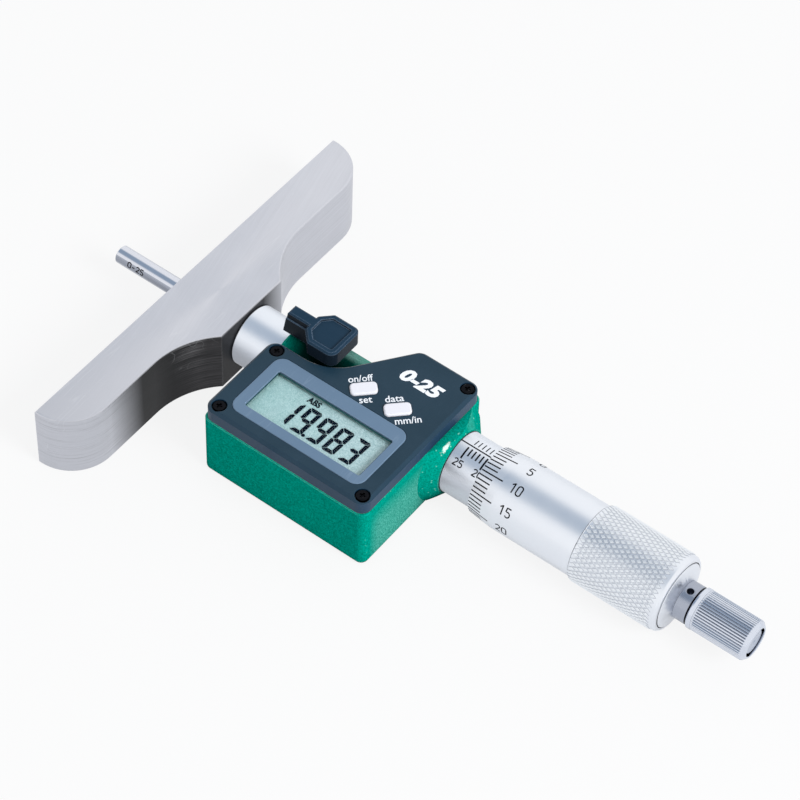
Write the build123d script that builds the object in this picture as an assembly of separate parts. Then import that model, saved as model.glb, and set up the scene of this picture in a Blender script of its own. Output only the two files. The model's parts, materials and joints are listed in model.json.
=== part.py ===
from build123d import *
import os
from math import cos, pi, sin, tan, radians

# Digital depth micrometer, 0 to 25 mm, lying with its display up. All sizes are millimetres.
# +X runs along the spindle from the measuring face towards the ratchet, +Z is the display's normal,
# and +Y runs along the base bar on the side away from the display.
# The origin is the point where the spindle axis crosses the measuring face.

# Measuring state
reading = 19.98
measuring_range = 25.0

# Fits, as gaps on the radius or on each side
running_fit = 0.05
fixed_fit = 0.02
button_fit = 0.08

# Base bar
bar_length = 101.5
bar_width = 17.0
block_height = 17.5
block_width = 20.4
arm_height = 11.1
block_flank_angle = 45.0
arm_sweep_radius = 20.0
bar_end_radius = 10.5
bar_edge = 0.25

# Measuring rod and spindle
rod_radius = 2.15
rod_tip_edge = 0.2
rod_head_radius = 3.4
rod_head_length = 1.6
rod_tail_radius = 1.6
rod_tail_length = 2.0
rod_nut_across_flats = 5.8
rod_nut_length = 1.6
spindle_radius = 3.2
spindle_thread_radius = 4.4
spindle_thread_length = 43.0
spindle_plain_length = 62.5
spindle_flange_length = 5.0
keyway_width = 1.1
keyway_depth = 0.55
keyway_spare = 2.5

# Neck tube between bar and housing
neck_radius = 7.2
neck_length = 10.55
neck_bar_spigot_radius = 5.8
neck_bar_spigot_length = 8.0
neck_housing_spigot_radius = 6.3
neck_housing_spigot_length = 16.0
neck_edge = 0.3

# Cast housing
housing_length = 43.15
housing_front = 29.65
housing_back = 11.45
housing_top = 8.2
housing_bottom = 8.7
housing_corner = 1.8
housing_base_round = 1.1
housing_rim_edge = 0.25
bay_edge = 5.55
bay_corner = 14.35
bay_slope = 53.7
bay_radius = 11.7
barrel_radius = 8.2
barrel_edge = 0.6
boss_radius = 11.1
boss_mouth_radius = 7.75
boss_length = 2.75
chamber_radius = 7.0
chamber_length = 16.0
sleeve_seat_length = 5.2
pocket_length = 33.0
pocket_width = 17.8
pocket_floor = 2.0
pocket_corner = 1.5
pocket_bore_wall = 2.2
cable_slot_width = 4.0
cable_slot_height = 2.0

# Front cover, gasket and screws
gasket_thickness = 0.15
gasket_width = 1.0
cover_inset = 0.2
cover_corner = 2.7
cover_height = 3.65
cover_bevel = 0.7
cover_wall = 1.6
cover_skin = 1.1
screw_left_edge = 2.95
screw_right_edge = 2.3
screw_front_edge = 2.35
screw_bay_edge = 2.6
screw_head_radius = 1.35
screw_head_height = 1.0
screw_shank_radius = 0.75
screw_length = 6.0
screw_well_gap = 0.35
screw_sink = 0.1
screw_boss_radius = 2.3
recess_width = 0.45
recess_depth = 0.5

# Display
display_x = 21.4
display_y = 17.5
bezel_length = 34.8
bezel_width = 17.8
bezel_corner = 2.6
bezel_thickness = 0.55
bezel_inlay = 0.4
sight_length = 30.3
sight_width = 11.65
sight_shift_x = 0.4
sight_shift_y = 0.62
sight_corner = 0.4
window_lip = 0.85
window_thickness = 0.85
lcd_lip = 0.6
lcd_thickness = 1.05
zebra_width = 1.5
zebra_height = 0.35

# Circuit board, battery and its cap
board_thickness = 0.8
board_lift = 0.15
board_margin = 0.3
board_tongue_reach = 1.8
dome_radius = 1.7
dome_height = 0.4
battery_radius = 5.8
battery_height = 5.4
holder_wall = 1.8
holder_gap = 0.1
contact_thickness = 0.3
contact_width = 3.0
contact_inset = 1.2
contact_foot = 2.2
contact_rise = 2.2
cap_flange_radius = 8.0
cap_flange_thickness = 0.9
cap_plug_radius = 6.9
cap_slot_width = 1.6
cap_slot_depth = 0.6
oring_width = 0.8
oring_depth = 0.6

# Buttons
button_length = 5.9
button_width = 3.3
button_corner = 1.0
button_angle = 45.0
button_pitch = 9.0
button_shift = 6.6
button_y = 5.0
button_flange = 0.5
button_flange_height = 0.6
button_rise = 0.55
button_travel = 0.45
button_edge = 0.25

# Data port in the housing's back wall
port_edge = 8.3
port_length = 8.0
port_height = 4.4
port_corner = 1.2
port_depth = 2.4
port_tab_rise = 0.5

# Lock lever, its screw and shoe
lever_x = 10.45
lever_length = 9.6
lever_width = 9.8
lever_shift = 0.2
lever_bottom = 11.5
lever_height = 4.3
lever_rim = 1.35
lever_recess = 0.5
lever_edge = 0.45
lever_cuts = (2.7, 2.6)
lever_corners = (0.8, 1.9, 1.5, 0.8, 0.8, 0.8)
lever_corner_least = 0.35
paddle_reach = 5.5
paddle_width = 2.75
paddle_offset = 0.5
paddle_edge = 0.35
paddle_bottom_drop = 2.0
paddle_draft = 10.0
paddle_side_height = 1.9
paddle_ledge = 0.3
lever_boss_radius = 3.4
lock_screw_radius = 1.5
lock_screw_grip = 2.6
lock_shoe_height = 0.95

# Graduated sleeve, inner sleeve and adjusting nut
sleeve_radius = 7.25
sleeve_wall = 1.35
sleeve_zero_length = 28.0
sleeve_end_spare = 2.0
inner_flange_length = 4.5
guide_length = 4.0
nut_thread_length = 12.0
nut_thread_wall = 1.15
relief_gap = 0.4
adjust_nut_radius = 6.9
adjust_nut_length = 4.6
adjust_nut_gap = 0.4
adjust_slot_width = 0.6
spanner_slot_width = 1.4
spanner_slot_depth = 0.7

# Thimble and its end cap
thimble_radius = 8.48
thimble_edge_wall = 0.55
thimble_bevel_length = 5.5
thimble_plain_length = 26.2
knurl_radius = 9.1
knurl_length = 21.3
knurl_edge = 0.35
thimble_end_length = 0.5
thimble_end_radius = 8.35
end_cap_spigot_radius = 6.2
end_cap_spigot_length = 4.2
end_cap_radius = 7.6
end_cap_seat = 0.5
end_cap_seam = 0.12
end_cap_rim = 0.15
end_cap_cone_length = 1.25
end_cap_bore_radius = 4.0
end_cap_wall = 1.5

# Rotary encoder
stator_thickness = 1.0
stator_bore_radius = 4.0
stator_inset = 2.0
encoder_gap = 0.3
rotor_thickness = 1.0
rotor_radius = 6.3
rotor_hub_radius = 3.9
bush_radius = 4.6
rotor_spring_space = 2.0
key_length = 1.6
rotor_spring_thickness = 0.3
rotor_spring_radius = 5.5

# Ratchet stop
stub_radius = 4.4
stub_length = 2.9
stub_stud_radius = 2.2
tommy_hole_radius = 0.8
tommy_hole_depth = 2.4
tommy_hole_angle = 6.0
post_radius = 1.5
post_length = 13.25
washer_radius = 4.3
washer_thickness = 0.4
knob_flange_radius = 4.75
knob_flange_length = 1.25
knob_radius = 4.68
flute_depth = 0.28
flute_count = 48
flute_length = 12.0
knob_end_length = 1.05
knob_end_radius = 3.85
knob_wall = 3.0
knob_bore_radius = 3.2
knob_edge = 0.2
tooth_count = 12
tooth_height = 0.35
tooth_inner_radius = 1.9
clutch_radius = 3.0
clutch_length = 2.0
clutch_gap = 0.05
spring_wire_radius = 0.25
spring_radius = 2.3
spring_turns = 4
ratchet_screw_radius = 2.9
ratchet_screw_head = 1.1
ratchet_screw_shank_radius = 0.8
ratchet_screw_length = 4.0
ratchet_screw_dimple = 0.5

# Places along the spindle axis, on the fixed side
housing_left = block_height + neck_length
housing_right = housing_left + housing_length
mouth_x = housing_right + boss_length
chamber_right = mouth_x - boss_length - sleeve_seat_length
chamber_left = chamber_right - chamber_length
zero_line_x = mouth_x + sleeve_zero_length
sleeve_end = zero_line_x + sleeve_end_spare
nut_end = sleeve_end + adjust_nut_gap + adjust_nut_length + 1
inner_left = chamber_right - inner_flange_length
guide_end = chamber_right + guide_length
nut_start = nut_end - nut_thread_length
sleeve_bore_radius = sleeve_radius - sleeve_wall
lever_axis_x = housing_left + lever_x

# Places along the spindle axis, on the side that feeds with the screw
thimble_edge = zero_line_x - reading
thimble_end = thimble_edge + thimble_plain_length + knurl_length + thimble_end_length
spindle_rear = thimble_end - end_cap_spigot_length
spindle_flange_front = spindle_rear - spindle_flange_length
spindle_thread_front = spindle_flange_front - spindle_thread_length
spindle_front = spindle_thread_front - spindle_plain_length
thimble_bore_radius = sleeve_radius + running_fit
end_cap_face = thimble_end + end_cap_rim + end_cap_cone_length
stub_end = end_cap_face + stub_length
post_end = stub_end + post_length
knob_left = stub_end + washer_thickness + running_fit
flute_left = knob_left + knob_flange_length
flute_right = flute_left + flute_length
knob_right = flute_right + knob_end_length

# Places of the rotor, which turns with the spindle and doesn't feed
stator_left = chamber_left + stator_inset
rotor_left = stator_left + stator_thickness + encoder_gap
bush_left = rotor_left + rotor_thickness
bush_right = inner_left - rotor_spring_space
key_x = (bush_left + bush_right) / 2

# Heights of what the cover holds
cover_bottom = housing_top + gasket_thickness
cover_top = cover_bottom + cover_height
cover_ceiling = cover_top - cover_skin
bezel_bottom = cover_top - bezel_inlay
window_bottom = bezel_bottom - window_thickness
board_bottom = cover_bottom + board_lift
board_top = board_bottom + board_thickness
lcd_bottom = board_top + zebra_height
button_bottom = cover_ceiling - running_fit * 2 - button_flange_height

# Places in the plan of the housing
display_middle = housing_right - display_x
display_centre = (display_middle, -display_y)
sight_centre = (display_centre[0] + sight_shift_x, display_centre[1] - sight_shift_y)
pocket_back = -(chamber_radius + pocket_bore_wall)
pocket_centre = (display_middle, pocket_back - pocket_width / 2)
battery_centre = pocket_centre
button_centres = [
    (display_middle + button_shift - button_pitch / 2, -button_y),
    (display_middle + button_shift + button_pitch / 2, -button_y),
]
screw_places = [
    (housing_left + screw_left_edge, -housing_front + screw_front_edge),
    (housing_left + screw_left_edge, -bay_edge - screw_bay_edge),
    (housing_right - screw_right_edge, housing_back - screw_bay_edge),
    (housing_right - screw_right_edge, -housing_front + screw_front_edge),
]


def turned(*points):
    """A solid turned about the spindle axis from (x, radius) points."""
    return revolve(make_face(Polyline(*points, close=True)), Axis.X)


def rod(x_start, x_end, radius):
    """A round bar along the spindle axis."""
    return turned((x_start, 0), (x_end, 0), (x_end, radius), (x_start, radius))


def tube(x_start, x_end, radius, bore):
    """A tube along the spindle axis."""
    return turned((x_start, bore), (x_end, bore), (x_end, radius), (x_start, radius))


def upright(centre, z_start, z_end, radius):
    """An upright cylinder about a point of the plan."""
    return Pos(centre[0], centre[1], z_start) * extrude(Circle(radius), z_end - z_start)


def plate(centre, length, width, corner, z_start, z_end, angle=0):
    """A flat plate with rounded corners about a point of the plan."""
    shape = RectangleRounded(length, width, corner) if corner else Rectangle(length, width)
    return Pos(centre[0], centre[1], z_start) * Rot(0, 0, angle) * extrude(shape, z_end - z_start)


def block(x, y, z):
    """A box from (low, high) pairs."""
    size = [pair[1] - pair[0] for pair in (x, y, z)]
    middle = [(pair[0] + pair[1]) / 2 for pair in (x, y, z)]
    return Pos(*middle) * Box(*size)


def case_outline(corner):
    """The plan of the casting, with a corner radius and the bay that the lock lever turns in."""
    bay_x = housing_left + bay_corner
    back_x = bay_x + (housing_back + bay_edge) / tan(radians(bay_slope))
    points = [
        (housing_left, -housing_front),
        (housing_right, -housing_front),
        (housing_right, housing_back),
        (back_x, housing_back),
        (bay_x, -bay_edge),
        (housing_left, -bay_edge),
    ]
    corners = [corner] * 4 + [bay_radius, corner]
    return make_face(FilletPolyline(*points, radius=corners, close=True))


def slab(inset, z_start, z_end, corner=housing_corner):
    """The casting's plan, drawn in by an inset and raised between two heights."""
    outline = case_outline(corner)
    face = offset(outline, -inset) if inset else outline
    return Pos(0, 0, z_start) * extrude(face, z_end - z_start)


def make_base_bar():
    """Hardened steel bar: flat measuring face, raised block, swept arms and round ends."""
    half_width = block_width / 2
    flank_foot = half_width + (block_height - arm_height) / tan(radians(block_flank_angle))
    half = [(arm_height, bar_length / 2), (arm_height, flank_foot), (block_height, half_width)]
    points = [(0, bar_length / 2)] + half + [(x, -y) for x, y in reversed(half)] + [(0, -bar_length / 2)]
    radii = [0, bar_end_radius, arm_sweep_radius, 0, 0, arm_sweep_radius, bar_end_radius, 0]
    outline = make_face(FilletPolyline(*points, radius=radii, close=True))
    bar = Pos(0, 0, -bar_width / 2) * extrude(outline, bar_width)
    faces = bar.faces().sort_by(Axis.Z)
    bar = chamfer(faces[0].edges() + faces[-1].edges(), bar_edge)
    socket_bottom = block_height - neck_bar_spigot_length
    bar -= rod(-1, socket_bottom + 1, rod_radius + running_fit)
    return bar - rod(socket_bottom, block_height + 1, neck_bar_spigot_radius + fixed_fit)


def make_neck_tube():
    """Chromed tube that carries the housing on the bar and guides the spindle's front."""
    shoulder = block_height
    tube_end = housing_left + neck_housing_spigot_length
    neck = turned(
        (block_height - neck_bar_spigot_length, spindle_radius + running_fit),
        (tube_end, spindle_radius + running_fit),
        (tube_end, neck_housing_spigot_radius),
        (housing_left, neck_housing_spigot_radius),
        (housing_left, neck_radius),
        (shoulder + neck_edge, neck_radius),
        (shoulder, neck_radius - neck_edge),
        (shoulder, neck_bar_spigot_radius),
        (block_height - neck_bar_spigot_length, neck_bar_spigot_radius),
    )
    return neck - upright((lever_axis_x, 0), 0, neck_radius, lock_screw_radius + running_fit)


def make_boss():
    """The round boss that the sleeve comes out of, flush with the casting's top and bottom."""
    solid = turned(
        (chamber_right, 0), (mouth_x, 0), (mouth_x, boss_mouth_radius), (housing_right, boss_radius),
        (chamber_right, boss_radius),
    )
    reach = boss_radius + 1
    return solid & block((chamber_right, mouth_x), (-reach, reach), (-housing_top, housing_top))


def make_housing():
    """Cast housing: slab with a lever bay, barrel, boss, stepped bore, pocket and battery well."""
    body = slab(0, -housing_bottom, housing_top)
    body = fillet(body.faces().sort_by(Axis.Z)[0].edges(), housing_base_round)
    body = chamfer(body.faces().sort_by(Axis.Z)[-1].edges(), housing_rim_edge)
    body += turned(
        (housing_left, 0), (chamber_right, 0), (chamber_right, barrel_radius),
        (housing_left + barrel_edge, barrel_radius), (housing_left, barrel_radius - barrel_edge),
    )
    body += make_boss()
    lever_boss_top = lever_bottom - running_fit
    body += upright((lever_axis_x, 0), housing_top - 2, lever_boss_top, lever_boss_radius)
    body -= rod(housing_left - 1, chamber_left + 1, neck_housing_spigot_radius + fixed_fit)
    body -= rod(chamber_left, chamber_right + 1, chamber_radius)
    body -= rod(chamber_right, mouth_x + 1, sleeve_radius + fixed_fit)
    body -= upright((lever_axis_x, 0), 0, lever_boss_top + 1, lock_screw_radius + running_fit)
    floor = -housing_bottom + pocket_floor
    body -= plate(pocket_centre, pocket_length, pocket_width, pocket_corner, floor, housing_top + 1)
    cap_face = -housing_bottom
    body -= upright(battery_centre, cap_face - 1, floor + 1, cap_plug_radius + running_fit)
    flange_top = cap_face + cap_flange_thickness
    body -= upright(battery_centre, cap_face - 1, flange_top, cap_flange_radius + running_fit)
    slot_x = stator_left + stator_thickness / 2
    body -= block(
        (slot_x - cable_slot_width / 2, slot_x + cable_slot_width / 2),
        (pocket_back - 1, 0),
        (-cable_slot_height / 2, cable_slot_height / 2),
    )
    for place in screw_places:
        body -= upright(place, cover_bottom - screw_length, housing_top + 1,
                        screw_shank_radius + fixed_fit)
    return body - port_plug_body(fixed_fit, 1)


def port_plug_body(gap, beyond):
    """The rounded block that fills the data port, grown by a gap and past the wall."""
    shape = RectangleRounded(port_length + 2 * gap, port_height + 2 * gap, port_corner + gap)
    face = Pos(housing_right - port_edge, housing_back + beyond, 0) * Rot(90, 0, 0) * shape
    return extrude(face, port_depth + beyond)


def make_data_port_plug():
    """Rubber plug in the data port, with a thumb tab along its lower edge."""
    plug = port_plug_body(0, 0)
    tab = Pos(housing_right - port_edge, housing_back + port_tab_rise, -port_height / 4)
    tab *= Rot(90, 0, 0) * RectangleRounded(port_length / 2, port_height / 4, port_corner / 3)
    return plug + extrude(tab, port_tab_rise + port_depth / 2)


def make_cover_gasket():
    """Thin seal that follows the casting's rim."""
    outer = slab(cover_inset + running_fit, housing_top, cover_bottom, cover_corner)
    inset = cover_inset + running_fit + gasket_width
    return outer - slab(inset, housing_top - 1, cover_bottom + 1, cover_corner)


def make_front_cover():
    """Moulded cover: bevelled rim, display opening, button holes, screw wells and hollow back."""
    cover = slab(cover_inset, cover_bottom, cover_top, cover_corner)
    cover = chamfer(cover.faces().sort_by(Axis.Z)[-1].edges(), cover_bevel)
    hollow = slab(cover_inset + cover_wall, cover_bottom - 1, cover_ceiling, cover_corner)
    for place in screw_places:
        hollow -= upright(place, cover_bottom - 1, cover_ceiling, screw_boss_radius)
    cover -= hollow
    corner = bezel_corner + running_fit
    cover -= plate(display_centre, bezel_length + 2 * running_fit, bezel_width + 2 * running_fit, corner,
                   bezel_bottom, cover_top + 1)
    length, width = sight_length + 2 * window_lip, sight_width + 2 * window_lip
    cover -= plate(sight_centre, length + 2 * button_fit, width + 2 * button_fit, sight_corner,
                   cover_ceiling - 1, bezel_bottom + 1)
    for centre in button_centres:
        cover -= plate(centre, button_length + 2 * button_fit, button_width + 2 * button_fit,
                       button_corner + button_fit, cover_ceiling - 1, cover_top + 1, button_angle)
    for place in screw_places:
        well_bottom = cover_top - screw_sink - screw_head_height
        cover -= upright(place, cover_bottom - 1, cover_top + 1, screw_shank_radius + button_fit)
        cover -= upright(place, well_bottom, cover_top + 1, screw_head_radius + screw_well_gap)
    return cover


def make_cover_screws():
    """Four cross-recess screws that hold the cover."""
    screws = []
    for place in screw_places:
        head_top = cover_top - screw_sink
        screw = upright(place, head_top - screw_head_height, head_top, screw_head_radius)
        screw += upright(place, cover_bottom - screw_length, head_top - screw_head_height,
                         screw_shank_radius)
        for angle in (0, 90):
            screw -= plate(place, screw_head_radius, recess_width, 0, head_top - recess_depth,
                           head_top + 1, angle)
        screws.append(screw)
    return Compound(children=screws)


def make_display_bezel():
    """Frame laid into the cover round the display."""
    bezel = plate(display_centre, bezel_length, bezel_width, bezel_corner, bezel_bottom,
                  bezel_bottom + bezel_thickness)
    bezel = chamfer(bezel.faces().sort_by(Axis.Z)[-1].edges(), bezel_thickness - bezel_inlay)
    return bezel - plate(sight_centre, sight_length, sight_width, sight_corner, bezel_bottom - 1,
                         cover_top + 1)


def make_display_window():
    """Clear pane under the bezel's lip."""
    length, width = sight_length + 2 * window_lip, sight_width + 2 * window_lip
    return plate(sight_centre, length, width, sight_corner, window_bottom, bezel_bottom)


def make_lcd_panel():
    """Liquid crystal cell between the board and the window."""
    length, width = sight_length + 2 * lcd_lip, sight_width + 2 * lcd_lip
    return plate(sight_centre, length, width, 0, lcd_bottom, lcd_bottom + lcd_thickness)


def make_lcd_connectors():
    """Two rubber strips that join the display's edges to the board."""
    strips = []
    edge = sight_width / 2 + lcd_lip - zebra_width / 2
    for side in (-1, 1):
        centre = (sight_centre[0], sight_centre[1] + side * edge)
        strips.append(plate(centre, sight_length, zebra_width, 0, board_top, lcd_bottom))
    return Compound(children=strips)


def make_circuit_board():
    """Main board with a tongue under the buttons and a dome switch below each."""
    half = pocket_length / 2 - board_margin
    front = pocket_centre[1] - pocket_width / 2 + board_margin
    left, right = pocket_centre[0] - half, pocket_centre[0] + half
    tongue_left = button_centres[0][0] - dome_radius - board_margin
    board = block((left, right), (front, pocket_back), (board_bottom, board_top))
    board += block((tongue_left, right), (front, -board_tongue_reach), (board_bottom, board_top))
    for centre in button_centres:
        board += upright(centre, board_bottom, board_top + dome_height, dome_radius)
    return board


def make_button(centre):
    """Push button with a rounded oblong top and a flange that keeps it in."""
    top = cover_top + button_rise
    stem = plate(centre, button_length, button_width, button_corner, button_bottom, top, button_angle)
    stem = chamfer(stem.faces().sort_by(Axis.Z)[-1].edges(), button_edge)
    return stem + plate(centre, button_length + 2 * button_flange, button_width + 2 * button_flange,
                        button_corner + button_flange, button_bottom, button_bottom + button_flange_height,
                        button_angle)


def make_battery():
    """Button cell with a narrower negative cap below."""
    bottom = -housing_bottom + pocket_floor + holder_gap
    cell = upright(battery_centre, bottom + 0.4, bottom + battery_height, battery_radius)
    return cell + upright(battery_centre, bottom, bottom + 0.4, battery_radius - 0.8)


def make_battery_holder():
    """Moulded ring that guides the cell up to the board."""
    floor = -housing_bottom + pocket_floor
    outer = upright(battery_centre, floor, board_bottom, battery_radius + holder_gap + holder_wall)
    return outer - upright(battery_centre, floor - 1, board_bottom + 1, battery_radius + holder_gap)


def make_battery_contact():
    """Leaf contact from the board down to the top of the cell."""
    x, y = battery_centre
    cell_top = -housing_bottom + pocket_floor + holder_gap + battery_height
    left = x - battery_radius + contact_inset
    right = x + battery_radius - contact_inset
    bend_left = left + contact_foot
    bend_z = cell_top + contact_rise
    path = [
        (left, board_bottom), (bend_left, board_bottom), (right, bend_z), (x, cell_top),
        (x, cell_top + contact_thickness), (right - contact_thickness * 2, bend_z),
        (bend_left - contact_thickness / 2, board_bottom - contact_thickness),
        (left, board_bottom - contact_thickness),
    ]
    face = make_face(Polyline(*[(px, 0, pz) for px, pz in path], close=True))
    return Pos(0, y, 0) * extrude(face, contact_width / 2, both=True)


def make_battery_cap():
    """Quarter-turn cap with a coin slot, flush in the housing's back."""
    face = -housing_bottom
    cap = upright(battery_centre, face, face + cap_flange_thickness - fixed_fit, cap_flange_radius)
    cap = chamfer(cap.faces().sort_by(Axis.Z)[0].edges(), fixed_fit * 10)
    cap += upright(battery_centre, face, face + pocket_floor - fixed_fit, cap_plug_radius)
    cap -= plate(battery_centre, cap_plug_radius * 1.7, cap_slot_width, cap_slot_width / 2 - fixed_fit,
                 face - 1, face + cap_slot_depth)
    return cap - oring_band(cap_plug_radius + 1, oring_depth, 0)


def oring_band(outer, depth, gap):
    """The band round the cap's plug that the O-ring fills, drawn in by a gap."""
    start = -housing_bottom + cap_flange_thickness + gap
    end = -housing_bottom + cap_flange_thickness + oring_width - gap
    band = upright(battery_centre, start, end, outer)
    return band - upright(battery_centre, start - 1, end + 1, cap_plug_radius - depth + gap)


def make_battery_cap_oring():
    """Rubber ring in the cap's groove."""
    ring = oring_band(cap_plug_radius + fixed_fit, oring_depth, fixed_fit)
    return chamfer(ring.edges().filter_by(GeomType.CIRCLE).sort_by(SortBy.RADIUS)[-2:], oring_depth / 4)


def lever_outline(shrink):
    """The lever hub's plan, two corners cut and two round, drawn in by an amount on every side."""
    half_length, half_width = lever_length / 2 - shrink, lever_width / 2 - shrink
    near_cut, far_cut = [cut - shrink * (2 - 2 ** 0.5) for cut in lever_cuts]
    points = [
        (near_cut - half_length, -half_width), (half_length, -half_width), (half_length, half_width),
        (far_cut - half_length, half_width), (-half_length, half_width - far_cut),
        (-half_length, near_cut - half_width),
    ]
    radii = [max(radius - shrink, lever_corner_least) for radius in lever_corners]
    return Pos(0, lever_shift, 0) * make_face(FilletPolyline(*points, radius=radii, close=True))


def lever_paddle(top):
    """The lever's paddle, with a ledge along the side that faces the display."""
    root_x = lever_axis_x - lever_length / 2 + lever_rim
    tip_x = lever_axis_x - lever_length / 2 - paddle_reach
    low = lever_bottom - paddle_bottom_drop
    ledge_z = top - paddle_side_height
    slope = tan(radians(paddle_draft))
    halves = []
    for start, end, front in ((ledge_z, top, 0), (low, ledge_z, paddle_ledge)):
        side = [
            (tip_x - (top - start) * slope, 0, start), (root_x, 0, start), (root_x, 0, end),
            (tip_x - (top - end) * slope, 0, end),
        ]
        face = make_face(Polyline(*side, close=True))
        halves.append(Pos(0, paddle_offset - front, 0) * extrude(face, paddle_width / 2, both=True))
    upper = chamfer(halves[0].faces().sort_by(Axis.Z)[-1].edges(), paddle_edge)
    return upper + halves[1]


def make_lock_lever():
    """Plastic lever: hub with a sunk top and eased edges, and a paddle that hangs past its left side."""
    top = lever_bottom + lever_height
    hub = Pos(lever_axis_x, 0, lever_bottom) * extrude(lever_outline(0), lever_height)
    hub = chamfer(hub.faces().sort_by(Axis.Z)[-1].edges(), lever_edge)
    hub = chamfer(hub.faces().sort_by(Axis.Z)[0].edges(), lever_edge)
    lever = hub + lever_paddle(top)
    lever -= Pos(lever_axis_x, 0, top - lever_recess) * extrude(lever_outline(lever_rim), lever_recess + 1)
    return lever - upright((lever_axis_x, 0), lever_bottom - paddle_bottom_drop - 1,
                           lever_bottom + lock_screw_grip, lock_screw_radius + fixed_fit)


def make_lock_screw():
    """Clamp screw that the lever turns."""
    start = spindle_radius + 2 * running_fit + lock_shoe_height
    return upright((lever_axis_x, 0), start, lever_bottom + lock_screw_grip, lock_screw_radius)


def make_lock_shoe():
    """Brass shoe that the clamp screw presses on the spindle."""
    start = spindle_radius - 1
    end = spindle_radius + running_fit + lock_shoe_height
    shoe = upright((lever_axis_x, 0), start, end, lock_screw_radius)
    return shoe - rod(lever_axis_x - neck_radius, lever_axis_x + neck_radius, spindle_radius + running_fit)


def make_sleeve():
    """Graduated outer sleeve, held in the boss."""
    return tube(chamber_right, sleeve_end, sleeve_radius, sleeve_bore_radius)


def make_inner_sleeve():
    """Inner sleeve: flange, spindle guide, relieved bore and split, threaded nut end."""
    outer = sleeve_bore_radius - fixed_fit
    thread_bore = spindle_thread_radius + running_fit
    relief = thread_bore + relief_gap
    nut_outer = thread_bore + nut_thread_wall
    body = turned(
        (inner_left, spindle_radius + running_fit), (inner_left, chamber_radius - fixed_fit),
        (chamber_right, chamber_radius - fixed_fit), (chamber_right, outer), (sleeve_end, outer),
        (sleeve_end, nut_outer), (nut_end, nut_outer), (nut_end, thread_bore), (nut_start, thread_bore),
        (nut_start, relief), (guide_end, relief), (guide_end, spindle_radius + running_fit),
    )
    half_slot = adjust_slot_width / 2
    for angle in (90, 210, 330):
        slit = block((nut_start + 2, nut_end + 1), (-half_slot, half_slot), (0, sleeve_radius))
        body -= Rot(angle, 0, 0) * slit
    return body


def make_adjusting_nut():
    """Slotted nut that closes the split end and takes up wear."""
    start = sleeve_end + adjust_nut_gap
    bore = spindle_thread_radius + running_fit + nut_thread_wall + fixed_fit
    nut = tube(start, start + adjust_nut_length, adjust_nut_radius, bore)
    for angle in (0, 90, 180, 270):
        slot = block(
            (start + adjust_nut_length / 2, start + adjust_nut_length + 1),
            (-spanner_slot_width / 2, spanner_slot_width / 2),
            (adjust_nut_radius - spanner_slot_depth, adjust_nut_radius + 1),
        )
        nut -= Rot(angle, 0, 0) * slot
    return nut


def make_spindle():
    """Hollow screw spindle: plain front with a keyway, threaded middle and rear flange."""
    spindle = turned(
        (spindle_front, rod_radius + fixed_fit), (spindle_rear, rod_radius + fixed_fit),
        (spindle_rear, thimble_bore_radius - fixed_fit),
        (spindle_flange_front, thimble_bore_radius - fixed_fit),
        (spindle_flange_front, spindle_thread_radius), (spindle_thread_front, spindle_thread_radius),
        (spindle_thread_front, spindle_radius), (spindle_front, spindle_radius),
    )
    front = key_x - key_length / 2 - keyway_spare - reading
    rear = key_x + key_length / 2 + keyway_spare + measuring_range - reading
    return spindle - block(
        (front, rear),
        (-keyway_width / 2, keyway_width / 2),
        (-spindle_radius - 1, -spindle_radius + keyway_depth),
    )


def make_measuring_rod():
    """Lapped measuring rod through the hollow spindle, with a head and threaded tail."""
    tail = spindle_rear + rod_head_length + rod_tail_length
    return turned(
        (-reading, 0), (tail, 0), (tail, rod_tail_radius),
        (spindle_rear + rod_head_length, rod_tail_radius),
        (spindle_rear + rod_head_length, rod_head_radius),
        (spindle_rear, rod_head_radius),
        (spindle_rear, rod_radius), (rod_tip_edge - reading, rod_radius),
        (-reading, rod_radius - rod_tip_edge),
    )


def make_rod_nut():
    """Hexagon nut that sets the rod's length."""
    start = spindle_rear + rod_head_length
    hexagon = RegularPolygon(rod_nut_across_flats / 2, 6, major_radius=False)
    nut = extrude(Plane.YZ.offset(start) * hexagon, rod_nut_length)
    return nut - rod(start - 1, start + rod_nut_length + 1, rod_tail_radius + fixed_fit)


def make_thimble():
    """Graduated thimble: bevelled edge, plain drum, raised grip band and a seat for the end cap."""
    seat = thimble_end - end_cap_seat
    knurl_start = thimble_edge + thimble_plain_length
    knurl_end = knurl_start + knurl_length
    return turned(
        (thimble_edge, thimble_bore_radius), (thimble_edge, thimble_bore_radius + thimble_edge_wall),
        (thimble_edge + thimble_bevel_length, thimble_radius), (knurl_start, thimble_radius),
        (knurl_start + knurl_edge, knurl_radius), (knurl_end, knurl_radius),
        (thimble_end, thimble_end_radius),
        (thimble_end, end_cap_radius + end_cap_seam), (seat, end_cap_radius + end_cap_seam),
        (seat, end_cap_spigot_radius + fixed_fit), (spindle_rear, end_cap_spigot_radius + fixed_fit),
        (spindle_rear, thimble_bore_radius),
    )


def make_end_cap():
    """Coned cap that screws into the thimble's rear and traps the rod's head."""
    seat = thimble_end - end_cap_seat
    bore_end = end_cap_face - end_cap_wall
    return turned(
        (spindle_rear, end_cap_bore_radius), (spindle_rear, end_cap_spigot_radius),
        (seat, end_cap_spigot_radius), (seat, end_cap_radius),
        (thimble_end + end_cap_rim, end_cap_radius),
        (end_cap_face, stub_radius + fixed_fit * 10), (end_cap_face, stub_stud_radius + fixed_fit),
        (bore_end, stub_stud_radius + fixed_fit), (bore_end, end_cap_bore_radius),
    )


def make_encoder_stator():
    """Fixed ring of the capacitive encoder."""
    return tube(stator_left, stator_left + stator_thickness, chamber_radius - fixed_fit, stator_bore_radius)


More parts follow.
